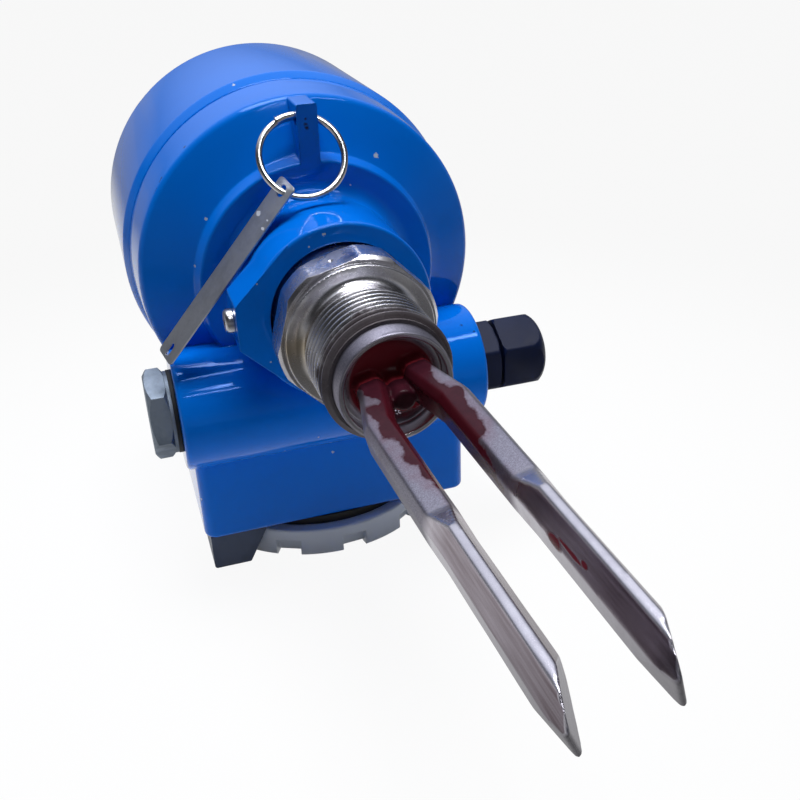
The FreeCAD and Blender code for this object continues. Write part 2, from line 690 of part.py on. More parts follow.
def insert_screws():
    screws = []
    for angle in (90, 210, 330):
        base = polar(post_circle, angle, insert_front + INSERT_FLANGE + SEAT_GAP)
        screws.append(pan_screw(base, BACK * -1, POST_HEIGHT + 2, SMALL_SCREW_RADIUS - SEAT_GAP,
                                SMALL_HEAD_RADIUS, SMALL_HEAD))
    return Part.makeCompound(screws)


def feedthrough():
    """Potted bush that carries the pins between the two chambers."""
    base = V(0, feedthrough_back, chamber_roof)
    radius = FEEDTHROUGH_RADIUS - SEAT_GAP
    top = BOX_BOTTOM - CHAMBER_HEIGHT - POT_RADIUS
    flange = FEEDTHROUGH_RADIUS + FEEDTHROUGH_FLANGE
    bush = turned([(0, -2), (flange, -2, 0.5), (flange, -SEAT_GAP), (radius, -SEAT_GAP),
                   (radius, top), (0, top)], base, UP)
    for pin in pin_places():
        bush = bush.cut(rod(0.7, base + pin - UP * 4, base + pin + UP * (top + 4)))
    return bush


def pin_places():
    angles = [math.radians(72 * n) for n in range(TERMINAL_COUNT)]
    return [V(3 * math.cos(a), 3 * math.sin(a), 0) for a in angles]


def feedthrough_pins():
    base = V(0, feedthrough_back, chamber_roof)
    top = BOX_BOTTOM - CHAMBER_HEIGHT - POT_RADIUS
    above = UP * (top + INSERT_CLEARANCE - 0.5)
    pins = [rod(0.7 - SEAT_GAP, base + pin - UP * 5, base + pin + above) for pin in pin_places()]
    return Part.makeCompound(pins)


def terminal_block():
    """Barrier strip under the chamber's roof, its screws facing the cap."""
    half = (TERMINAL_COUNT + 2) * TERMINAL_PITCH / 2
    roof = chamber_roof - SEAT_GAP
    low = roof - TERMINAL_HEIGHT
    ends = half - TERMINAL_PITCH * 1.05
    strip = prism([(-half, roof), (half, roof), (half, roof - 4, 0.5), (ends, roof - 4), (ends, low, 0.5),
                   (-ends, low, 0.5), (-ends, roof - 4), (-half, roof - 4, 0.5)],
                  V(0, chamber_back + TERMINAL_DEPTH / 2, 0), RIGHT, UP, TERMINAL_DEPTH)
    for place in terminal_places():
        pocket = rod(TERMINAL_PITCH * 0.36, place - UP, place + UP * TERMINAL_POCKET)
        mouth = place + UP * 6.5
        wire_way = rod(1.6, mouth - BACK * TERMINAL_DEPTH, mouth + BACK * TERMINAL_DEPTH)
        strip = strip.cut(pocket).cut(wire_way)
    for side in (-1, 1):
        strip = strip.cut(rod(SMALL_SCREW_RADIUS + 0.2, block_hole(side, chamber_roof - 6),
                              block_hole(side, chamber_roof)))
    return strip


def terminal_places():
    low = chamber_roof - SEAT_GAP - TERMINAL_HEIGHT
    middle = (TERMINAL_COUNT - 1) / 2
    return [V((n - middle) * TERMINAL_PITCH, chamber_back, low) for n in range(TERMINAL_COUNT)]


def terminal_screws():
    radius = TERMINAL_PITCH * 0.36 - SEAT_GAP
    end = TERMINAL_POCKET - SEAT_GAP
    screws = []
    for place in terminal_places():
        screw = turned([(0, 1), (radius, 1, 0.3), (radius, end), (0, end)], place, UP)
        slot = prism([(-radius, -0.4), (radius, -0.4), (radius, 0.4), (-radius, 0.4)],
                     place + UP * 0.9, RIGHT, BACK, 1)
        screws.append(screw.cut(slot))
    return Part.makeCompound(screws)


def block_screws():
    screws = []
    for side in (-1, 1):
        base = block_hole(side, chamber_roof - SEAT_GAP * 2 - 4)
        screws.append(pan_screw(base, V(0, 0, 1), 6, SMALL_SCREW_RADIUS - SEAT_GAP,
                                SMALL_HEAD_RADIUS, SMALL_HEAD))
    return Part.makeCompound(screws)


def earth_screw():
    base = earth_hole(chamber_roof - SEAT_GAP)
    return pan_screw(base, V(0, 0, 1), 2.5, SMALL_SCREW_RADIUS - SEAT_GAP, SMALL_HEAD_RADIUS, SMALL_HEAD)


def terminal_cover():
    """Screw cap with a plain rim above and a crown of grip lugs below."""
    base = V(0, chamber_back, 0)
    bore = CAP_THREAD_RADIUS + SCREW_GAP
    inside = cap_bottom + CAP_PLATE
    cap = turned([(bore, cap_rim_top), (CAP_RADIUS, cap_rim_top, 0.8), (CAP_RADIUS, cap_bottom, 1),
                  (CAP_RADIUS * 0.8, cap_bottom, 0.6), (CAP_RADIUS * 0.79, cap_bottom + 1, 0.4),
                  (0, cap_bottom + 1), (0, inside), (bore, inside)], base, UP)
    pocket = turned([(bore, cap_rim_top + 1), (bore + 1.6, cap_rim_top + 1), (bore + 1.6, cap_rim_top - 1.2),
                     (bore, cap_rim_top - 1.2)], base, UP)
    cap = cap.cut(pocket)
    inner = CAP_RADIUS - CAP_NOTCH_DEPTH
    half = math.radians(CAP_NOTCH_ANGLE / 2)
    notch = prism([(inner, -inner * math.tan(half)), (CAP_RADIUS + 2, -(CAP_RADIUS + 2) * math.tan(half)),
                   (CAP_RADIUS + 2, (CAP_RADIUS + 2) * math.tan(half)), (inner, inner * math.tan(half))],
                  base + UP * (cap_bottom - 1), RIGHT, BACK, CAP_LUG_HEIGHT + 1)
    floor = prism([(CAP_RADIUS * 0.75, -inner * math.tan(half)), (inner + 1, -inner * math.tan(half)),
                   (inner + 1, inner * math.tan(half)), (CAP_RADIUS * 0.75, inner * math.tan(half))],
                  base + UP * (cap_bottom - 1), RIGHT, BACK, CAP_NOTCH_FLOOR - 0.6)
    notch = notch.fuse(floor)
    for number in range(CAP_NOTCHES):
        turn = notch.copy()
        turn.rotate(base, UP, CAP_NOTCH_CLOCK + number * 360 / CAP_NOTCHES)
        cap = cap.cut(turn)
    return cap


def terminal_cover_o_ring():
    height = CAP_GAP + 1.2 - 2 * SEAT_GAP
    inner = CAP_THREAD_RADIUS + SCREW_GAP
    outer = inner + 1.6 - SEAT_GAP
    top = -BOX_BOTTOM - SEAT_GAP
    low = top - height
    return turned([(inner, low, 0.5), (outer, low, 0.5), (outer, top, 0.5), (inner, top, 0.5)],
                  V(0, chamber_back, 0), UP)


def cover_clamp():
    """Claw block under the chamber's corner, hollowed to follow the cap's rim."""
    left = clamp_left
    top = -BOX_BOTTOM - SEAT_GAP
    low = top - CLAMP_HEIGHT
    block = prism([(left, low, 1), (left + CLAMP_FOOT, low, 0.8), (left + CLAMP_WIDTH, top), (left, top)],
                  V(0, clamp_front + CLAMP_WIDTH, 0), RIGHT, UP, CLAMP_WIDTH)
    axis = V(0, chamber_back, 0)
    block = block.cut(rod(CAP_RADIUS + 0.6, axis + UP * (low - 1), axis + UP * (top + 1)))
    hole = rod(CLAMP_SCREW_RADIUS + 0.2, clamp_hole(low - 1), clamp_hole(top + 1))
    sink = rod(CLAMP_SCREW_RADIUS * 1.9, clamp_hole(low - 1), clamp_hole(low + CLAMP_SCREW_SINK))
    return block.cut(hole).cut(sink)


def clamp_screw():
    """Socket-head screw sunk in the clamp."""
    seat = clamp_hole(-BOX_BOTTOM - SEAT_GAP - CLAMP_HEIGHT + CLAMP_SCREW_SINK - SEAT_GAP)
    radius = CLAMP_SCREW_RADIUS
    shank = CLAMP_HEIGHT - CLAMP_SCREW_SINK + CLAMP_SCREW_GRIP
    screw = turned([(0, -3.2), (radius * 1.75, -3.2, 0.4), (radius * 1.75, 0), (radius - SEAT_GAP, 0),
                    (radius - SEAT_GAP, shank), (0, shank)], seat, UP)
    return screw.cut(hexagon(radius * 1.5, seat - UP * 4, seat - UP * 1.4))


def collar_screw():
    """Pan-head screw that locks the swivel, its tip just off the journal."""
    shank = LUG_REACH - JOURNAL_RADIUS - 0.4
    return pan_screw(V(-LUG_REACH - SEAT_GAP, lug_middle, 0), RIGHT * 1, shank,
                     COLLAR_SCREW_RADIUS - SEAT_GAP, COLLAR_HEAD_RADIUS, COLLAR_HEAD)


def entry_ring(side, radius):
    start = barrel_centre + RIGHT * (side * (barrel_reach + SEAT_GAP))
    end = start + RIGHT * (side * (GASKET_THICKNESS - SEAT_GAP))
    return tube(radius, ENTRY_RADIUS, start, end)


def plug_seal():
    return entry_ring(-1, PLUG_FLATS / 2 + 0.6)


def gland_gasket():
    return entry_ring(1, GLAND_FLATS / 2 + 0.4)


def blind_plug():
    """Hexagon plug with a turned flange, screwed into the left entry."""
    seat = barrel_centre - RIGHT * (barrel_reach + GASKET_THICKNESS + SEAT_GAP)
    out = RIGHT * -1
    corner = PLUG_FLATS / math.sqrt(3)
    end = PLUG_FLANGE + PLUG_HEAD
    head = hexagon(PLUG_FLATS, seat + out * PLUG_FLANGE, seat + out * end, 16)
    head = head.common(turned([(0, 0), (PLUG_FLATS / 2 + 0.2, PLUG_FLANGE), (corner + 0.1, PLUG_FLANGE + 1.2),
                               (corner + 0.1, end - 1.4), (PLUG_FLATS / 2 - 0.2, end), (0, end)], seat, out))
    shank = ENTRY_RADIUS - SEAT_GAP
    flange = PLUG_FLATS / 2 + 0.4
    body = turned([(0, -PLUG_SHANK), (shank - 1, -PLUG_SHANK), (shank, 1 - PLUG_SHANK), (shank, 0),
                   (flange, 0), (flange, PLUG_FLANGE), (0, PLUG_FLANGE)], seat, out)
    return body.fuse(head).removeSplitter()


def gland_seat():
    return barrel_centre + RIGHT * (barrel_reach + GASKET_THICKNESS + SEAT_GAP)


def gland_body():
    """Threaded shank, hexagon and the slotted spigot that grips the seal."""
    seat = gland_seat()
    base = hexagon(GLAND_FLATS, seat, seat + RIGHT * GLAND_BASE)
    corner = GLAND_FLATS / math.sqrt(3)
    base = base.common(turned([(0, 0), (corner - 0.8, 0), (corner - 0.3, 0.5),
                               (corner - 0.3, GLAND_BASE - 0.8), (corner - 1.4, GLAND_BASE),
                               (0, GLAND_BASE)], seat, RIGHT))
    shank = ENTRY_RADIUS - SEAT_GAP
    end = GLAND_BASE + GLAND_SPIGOT
    core = turned([(GLAND_BORE_RADIUS, -GLAND_SHANK), (shank, -GLAND_SHANK, 0.8), (shank, 1),
                   (GLAND_SPIGOT_RADIUS, 1), (GLAND_SPIGOT_RADIUS, end, 0.6),
                   (GLAND_BORE_RADIUS, end)], seat, RIGHT)
    body = core.fuse(base.cut(rod(GLAND_BORE_RADIUS, seat - RIGHT, seat + RIGHT * (GLAND_BASE + 1))))
    for number in range(3):
        slot = Part.makeBox(GLAND_SPIGOT, 1, GLAND_FLATS)
        slot = slot.translated(seat + V(GLAND_BASE + GLAND_SPIGOT * 0.6, -0.5, -GLAND_FLATS / 2))
        slot.rotate(seat, RIGHT, 60 * number)
        body = body.cut(slot)
    return body


def gland_nut_start():
    return GLAND_BASE + GLAND_NUT_GAP


def gland_seal():
    """Rubber sleeve between the spigot and the nut's dome."""
    start = GLAND_BASE + 2
    end = gland_nut_start() + GLAND_NUT_LENGTH - GLAND_DOME
    radius = GLAND_BORE_RADIUS - SCREW_GAP / 2
    return turned([(CABLE_RADIUS, start), (radius, start), (radius, end, 0.8), (CABLE_RADIUS, end)],
                  gland_seat(), RIGHT)


def gland_nut():
    """Domed hexagon nut over the spigot."""
    seat = gland_seat()
    start = gland_nut_start()
    end = start + GLAND_NUT_LENGTH
    corner = GLAND_FLATS / math.sqrt(3)
    bar = hexagon(GLAND_FLATS, seat + RIGHT * start, seat + RIGHT * end)
    bore = GLAND_SPIGOT_RADIUS + SCREW_GAP
    inside = end - GLAND_DOME + 0.2
    mouth = CABLE_RADIUS + 0.8
    skin = turned([(bore, start), (corner - 0.9, start), (corner - 0.2, start + 0.7),
                   (corner - 0.2, end, GLAND_DOME), (mouth, end, 0.6), (mouth, inside),
                   (bore, inside)], seat, RIGHT)
    return bar.common(skin)


def ring_down():
    tilt = math.radians(RING_TILT)
    return V(0, -math.sin(tilt), -math.cos(tilt))


def ring_centre():
    roll = math.radians(RING_ROLL)
    hang = rib_eye() - ring_down() * RING_SLACK
    return hang + RIGHT * (-RING_RADIUS * math.sin(roll)) + ring_down() * (RING_RADIUS * math.cos(roll))


def tag_ring():
    return Part.makeTorus(RING_RADIUS, RING_WIRE, ring_centre(), RIGHT.cross(ring_down()))


def tag_pivot():
    angle = math.radians(TAG_ANGLE)
    round_ring = RIGHT * math.sin(angle) + ring_down() * math.cos(angle)
    return ring_centre() + round_ring * RING_RADIUS


def tag_plate():
    """Flat strip hung on the ring by its upper hole; it leans over the neck to the barrel."""
    pivot = tag_pivot()
    along = (TAG_TOE - pivot).normalize()
    flat = (BACK - along * along.dot(BACK)).normalize()
    across = FreeCAD.Rotation(along, TAG_TWIST).multVec(flat)
    face = across.cross(along)
    half = TAG_WIDTH / 2
    end = TAG_LENGTH - TAG_MARGIN
    plate = prism([(-half, -TAG_MARGIN, 1.2), (half, -TAG_MARGIN, 1.2), (half, end, 1.2), (-half, end, 1.2)],
                  pivot - face * (TAG_THICKNESS / 2), across, along, TAG_THICKNESS)
    plate = plate.cut(rod(TAG_HOLE_RADIUS, pivot - face * 2, pivot + face * 2))
    low = pivot + along * (end - TAG_MARGIN)
    slot = prism([(-0.9, -2, 0.85), (0.9, -2, 0.85), (0.9, 2, 0.85), (-0.9, 2, 0.85)],
                 low - face * 2, across, along, 4)
    return plate.cut(slot)


PIECES = {
    "housing": housing,
    "main_cover": main_cover,
    "main_cover_o_ring": main_cover_o_ring,
    "process_adapter": process_adapter,
    "neck_o_rings": neck_o_rings,
    "retaining_ring": retaining_ring,
    "fork": fork,
    "stack_stud": stack_stud,
    "piezo_discs": piezo_discs,
    "insulating_rings": insulating_rings,
    "stack_nut": stack_nut,
    "electronics_insert": electronics_insert,
    "insert_screws": insert_screws,
    "failsafe_switch": lambda: slide_switch(-1),
    "density_switch": lambda: slide_switch(1),
    "status_lamps": status_lamps,
    "feedthrough": feedthrough,
    "feedthrough_pins": feedthrough_pins,
    "terminal_block": terminal_block,
    "terminal_screws": terminal_screws,
    "block_screws": block_screws,
    "earth_screw": earth_screw,
    "terminal_cover": terminal_cover,
    "terminal_cover_o_ring": terminal_cover_o_ring,
    "cover_clamp": cover_clamp,
    "clamp_screw": clamp_screw,
    "collar_screw": collar_screw,
    "blind_plug": blind_plug,
    "plug_seal": plug_seal,
    "gland_body": gland_body,
    "gland_gasket": gland_gasket,
    "gland_seal": gland_seal,
    "gland_nut": gland_nut,
    "tag_ring": tag_ring,
    "tag_plate": tag_plate,
}

os.makedirs("parts", exist_ok=True)
for name, make in PIECES.items():
    make().translated(BACK * -thread_middle).exportStep("parts/" + name + ".step")
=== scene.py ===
import json
import math

import bmesh
import bpy
from mathutils import Matrix, Vector


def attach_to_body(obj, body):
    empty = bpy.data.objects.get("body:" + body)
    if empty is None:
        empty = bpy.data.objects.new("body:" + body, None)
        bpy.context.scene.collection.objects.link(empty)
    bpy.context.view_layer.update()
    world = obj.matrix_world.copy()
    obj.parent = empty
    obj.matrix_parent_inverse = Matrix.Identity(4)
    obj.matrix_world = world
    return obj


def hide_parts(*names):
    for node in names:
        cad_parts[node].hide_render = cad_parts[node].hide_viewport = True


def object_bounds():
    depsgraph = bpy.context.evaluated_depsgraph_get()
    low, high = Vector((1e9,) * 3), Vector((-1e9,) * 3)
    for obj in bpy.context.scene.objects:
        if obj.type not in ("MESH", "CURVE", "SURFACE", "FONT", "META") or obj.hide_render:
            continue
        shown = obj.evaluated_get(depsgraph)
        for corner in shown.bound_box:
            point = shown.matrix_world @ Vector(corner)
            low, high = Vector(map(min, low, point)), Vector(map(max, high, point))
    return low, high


# Vibrating fork level switch, in metres.
# -Y is along the fork, +X towards the cable gland, +Z up, origin in the middle of the pipe thread.
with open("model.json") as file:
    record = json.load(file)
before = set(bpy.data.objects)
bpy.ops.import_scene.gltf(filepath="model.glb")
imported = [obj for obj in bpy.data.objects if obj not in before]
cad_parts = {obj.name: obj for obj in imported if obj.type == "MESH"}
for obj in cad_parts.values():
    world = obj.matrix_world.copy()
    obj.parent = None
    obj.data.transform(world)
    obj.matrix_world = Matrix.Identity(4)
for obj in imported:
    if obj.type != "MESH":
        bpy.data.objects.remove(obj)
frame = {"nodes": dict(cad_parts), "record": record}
cad_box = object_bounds()
solids = frame["nodes"]
scene = bpy.context.scene
MM = 0.001
# Edges stay sharp where faces meet at more than these degrees: on solids, on grown pieces, on the tines.
SOLID_CREASE, GROWN_CREASE, TINE_CREASE = 32, 40, 60

# Node kinds and settings that recur.
MATH, VECTOR, RANGE = "ShaderNodeMath", "ShaderNodeVectorMath", "ShaderNodeMapRange"
NOISE, MIX, STRETCH = "ShaderNodeTexNoise", "ShaderNodeMix", "ShaderNodeMapping"
SPLIT, JOIN, RAYS = "ShaderNodeSeparateXYZ", "ShaderNodeCombineXYZ", "ShaderNodeLightPath"
TIMES, PLUS, MINUS = {"operation": "MULTIPLY"}, {"operation": "ADD"}, {"operation": "SUBTRACT"}
OVER, LARGER, SMALLER = {"operation": "DIVIDE"}, {"operation": "MAXIMUM"}, {"operation": "MINIMUM"}
SIZE, LENGTH, DOT = {"operation": "ABSOLUTE"}, {"operation": "LENGTH"}, {"operation": "DOT_PRODUCT"}
COLOURS, NUMBERS = {"data_type": "RGBA"}, {"data_type": "FLOAT"}
UNCLAMPED, EASED = {"clamp": False}, {"interpolation_type": "SMOOTHSTEP"}
# Numbered sockets: the inputs of a map range, the inputs of a mix, and the output of a mix of colours.
VALUE, FROM, TO, LOW, HIGH = range(5)
SHARE, NUMBER_A, NUMBER_B, COLOUR_A, COLOUR_B = 0, 2, 3, 6, 7
MIXED = 2

# The fork is turned 14 degrees about its axis: directions across the two tines and up from their pads.
TINE_ACROSS = (0.9703, 0, 0.2419)
TINE_UP = (-0.2419, 0, 0.9703)
ALONG = (0, 1, 0)
# Marks of use, in millimetres: place, width and, where it differs, length along Y.
PALE_CHIPS = (
    ((20.5, 66.2, 33.0), 1.5), ((-14.1, 94.2, 51.4), 0.9), ((-30.3, 65.2, 21.1), 0.9),
    ((-35.3, 64.5, 8.0), 0.8), ((-8.2, 33.0, 20.2), 0.5), ((-4.2, 33.0, 23.1), 0.7),
    ((-3.7, 33.0, 23.1), 0.6), ((-22.8, 33.0, 12.1), 0.5), ((-21.4, 33.0, -10.8), 0.5),
    ((11.0, 60.6, 27.0), 0.5), ((-6.3, 70.1, 46.0), 0.8), ((-7.2, 69.9, 45.8), 0.7),
    ((-0.8, 57.9, -58.1), 0.9), ((-17.5, 48.9, -48.9), 0.6), ((-7.5, 45.1, -44.1), 0.5),
    ((-43.8, 60.2, -67.3), 0.9))
DARK_SPECKS = (
    ((-32.7, 74.9, 39.5), 1.0), ((-40.3, 74.4, 31.7), 0.8), ((-40.6, 74.4, 31.2), 0.7),
    ((-41.0, 74.4, 30.7), 0.6), ((-42.1, 73.8, 29.0), 0.5), ((-42.5, 73.9, 28.4), 0.5),
    ((-43.0, 74.0, 27.8), 0.5), ((-0.5, 60.7, 46.8), 0.9), ((-0.5, 60.7, 45.4), 1.1),
    ((-0.3, 60.7, 44.4), 1.5), ((41.7, 52.9, -18.8), 0.9), ((44.8, 50.4, -20.3), 0.6),
    ((-32.9, 47.7, -47.7), 0.5))
TAG_NICKS = (
    ((-17.1, 54.3, 24.1), 1.3, 2.6), ((-17.2, 49.2, 21.4), 0.8, 2.0), ((-15.7, 49.6, 23.4), 0.7, 1.5))
RED_DROPS = (
    ((5.7, -85.8, 3.8), 3.0, 5.4), ((6.05, -92.0, 5.4), 1.1, 10.0), ((6.26, -96.1, 6.0), 1.5, 2.8))


def linear(code):
    """An sRGB hex colour as the linear values that a socket takes."""
    shares = [int(code[i:i + 2], 16) / 255 for i in (0, 2, 4)]
    return [c / 12.92 if c < 0.04045 else ((c + 0.055) / 1.055) ** 2.4 for c in shares] + [1.0]


def tones(first, second):
    """The two colours of a mix."""
    return {COLOUR_A: linear(first), COLOUR_B: linear(second)}


def add(tree, kind, settings=(), values=(), links=(), out=0):
    """Adds one node with its settings, constants and links; gives one output, or all of them for None."""
    made = tree.nodes.new(kind)
    for key, value in dict(settings).items():
        setattr(made, key, value)
    for key, value in dict(values).items():
        made.inputs[key].default_value = value
    for key, source in dict(links).items():
        tree.links.new(source, made.inputs[key])
    return made.outputs if out is None else made.outputs[out]


def start_material(name):
    """A new material, its tree, its shader and each point's place on the piece."""
    material = bpy.data.materials.new(name)
    material.use_nodes = True
    tree = material.node_tree
    return material, tree, tree.nodes["Principled BSDF"], add(tree, "ShaderNodeTexCoord", out="Object")


def lay_finish(tree, shader, tone, rough, relief, edge, strength, depth, samples=4):
    """Joins colour, roughness and relief to the shader; the edges' radius and the relief's depth are in mm."""
    soft = add(tree, "ShaderNodeBevel", {"samples": samples}, {"Radius": edge * MM})
    normal = add(tree, "ShaderNodeBump", values={"Strength": strength, "Distance": depth * MM},
                 links={"Height": relief, "Normal": soft})
    for socket, source in (("Base Color", tone), ("Roughness", rough), ("Normal", normal)):
        tree.links.new(source, shader.inputs[socket])


def from_axis(tree, parts):
    """Each point's distance from the fork's axis."""
    flat = add(tree, JOIN, links={"X": parts["X"], "Z": parts["Z"]})
    return add(tree, VECTOR, LENGTH, links={0: flat}, out="Value")


def marked(tree, place, torn, marks, core=0.4):
    """Where one of the torn marks lies, from 0 to 1; core is the share of its width at full strength."""
    fringe = 0.56
    found = None
    for spot, width, *length in marks:
        squeeze = (1.0, width / length[0], 1.0) if length else (1.0, 1.0, 1.0)
        gap = add(tree, VECTOR, MINUS, {1: [s * MM for s in spot]}, {0: place})
        gap = add(tree, VECTOR, TIMES, {1: squeeze}, {0: gap})
        gap = add(tree, VECTOR, LENGTH, links={0: gap}, out="Value")
        gap = add(tree, MATH, TIMES, links={0: gap, 1: torn})
        hit = add(tree, RANGE, {}, {FROM: width * fringe * MM, TO: width * core * MM}, {VALUE: gap})
        found = hit if found is None else add(tree, MATH, LARGER, links={0: found, 1: hit})
    return found


def stove_enamel(name, colour, deep, sheen, chips=(), specks=()):
    """Stove enamel on a die casting: even wet gloss with a faint orange peel, pale chips and dark specks.

    The coat's depth drifts over 45 mm, handling dulls it over 17 mm, and grit of 0.7 mm tears the marks.
    The peel is drawn at 2.4 mm, coarser than in life, so that it shows.
    """
    material, tree, shader, place = start_material(name)
    cloud = add(tree, NOISE, {}, {"Scale": 1 / (45.5 * MM), "Detail": 2}, {"Vector": place})
    shade = add(tree, RANGE, {}, {FROM: 0.35, TO: 0.7, LOW: 0.0, HIGH: 0.5}, {VALUE: cloud})
    coat = add(tree, MIX, COLOURS, tones(colour, deep), {SHARE: shade}, MIXED)
    grit = add(tree, NOISE, {}, {"Scale": 1 / (0.714 * MM), "Detail": 3, "Roughness": 0.6},
               {"Vector": place})
    torn = add(tree, RANGE, {}, {FROM: 0.25, TO: 0.75, LOW: 0.45, HIGH: 1.55}, {VALUE: grit})
    for marks, tone, core in ((chips, "c3cddb", 0.4), (specks, "231f2c", 0.15)):
        if marks:
            worn = marked(tree, place, torn, marks, core)
            coat = add(tree, MIX, COLOURS, {COLOUR_B: linear(tone)}, {SHARE: worn, COLOUR_A: coat}, MIXED)
    smear = add(tree, NOISE, {}, {"Scale": 1 / (16.7 * MM), "Detail": 4}, {"Vector": place})
    gloss = add(tree, RANGE, {}, {FROM: 0.3, TO: 0.75, LOW: 0.04, HIGH: 0.1}, {VALUE: smear})
    peel = add(tree, NOISE, {}, {"Scale": 1 / (2.38 * MM), "Detail": 1}, {"Vector": place})
    lay_finish(tree, shader, coat, gloss, peel, edge=0.7, strength=0.04, depth=0.12, samples=6)
    shader.inputs["IOR"].default_value = 1.42
    shader.inputs["Specular Tint"].default_value = linear(sheen)
    return material


def bare_steel(name, colour, tarnish, roughness, grain=2.0, nicks=()):
    """Bare or plated metal: bright where rubbed or nicked, cloudier over 11 mm where handled.

    The grain is the size of the tool's marks in millimetres, drawn coarser than in life so that they show.
    """
    material, tree, shader, place = start_material(name)
    cloud = add(tree, NOISE, {}, {"Scale": 1 / (11.1 * MM), "Detail": 5, "Roughness": 0.6},
                {"Vector": place})
    shade = add(tree, RANGE, {}, {FROM: 0.4, TO: 0.7}, {VALUE: cloud})
    tone = add(tree, MIX, COLOURS, tones(colour, tarnish), {SHARE: shade}, MIXED)
    rough = add(tree, RANGE, {}, {FROM: 0.3, TO: 0.75, LOW: roughness - 0.07, HIGH: roughness + 0.12},
                {VALUE: cloud})
    marks = add(tree, NOISE, {}, {"Scale": 1 / (grain * MM), "Detail": 2}, {"Vector": place})
    if nicks:
        torn = add(tree, RANGE, {}, {FROM: 0.25, TO: 0.75, LOW: 0.5, HIGH: 1.6}, {VALUE: marks})
        rubbed = marked(tree, place, torn, nicks)
        tone = add(tree, MIX, COLOURS, {COLOUR_B: linear("f4f5f8")}, {SHARE: rubbed, COLOUR_A: tone}, MIXED)
        rough = add(tree, MIX, NUMBERS, {NUMBER_B: 0.6}, {SHARE: rubbed, NUMBER_A: rough})
    lay_finish(tree, shader, tone, rough, marks, edge=0.25, strength=0.25, depth=0.05)
    shader.inputs["Metallic"].default_value = 1.0
    return material


def moulded(name, colour, worn, roughness, shine=0.5):
    """Moulded plastic or rubber: even and a little paler over 7 mm where rubbed.

    The mould's spark texture is drawn at 0.6 mm, coarser than in life, so that it shows.
    """
    material, tree, shader, place = start_material(name)
    cloud = add(tree, NOISE, {}, {"Scale": 1 / (7.14 * MM), "Detail": 4}, {"Vector": place})
    shade = add(tree, RANGE, {}, {FROM: 0.45, TO: 0.8}, {VALUE: cloud})
    tone = add(tree, MIX, COLOURS, tones(colour, worn), {SHARE: shade}, MIXED)
    rough = add(tree, RANGE, {}, {FROM: 0.3, TO: 0.7, LOW: roughness - 0.06, HIGH: roughness + 0.1},
                {VALUE: cloud})
    spark = add(tree, NOISE, {}, {"Scale": 1 / (0.556 * MM), "Detail": 1}, {"Vector": place})
    lay_finish(tree, shader, tone, rough, spark, edge=0.5, strength=0.12, depth=0.05)
    shader.inputs["Specular IOR Level"].default_value = shine
    return material


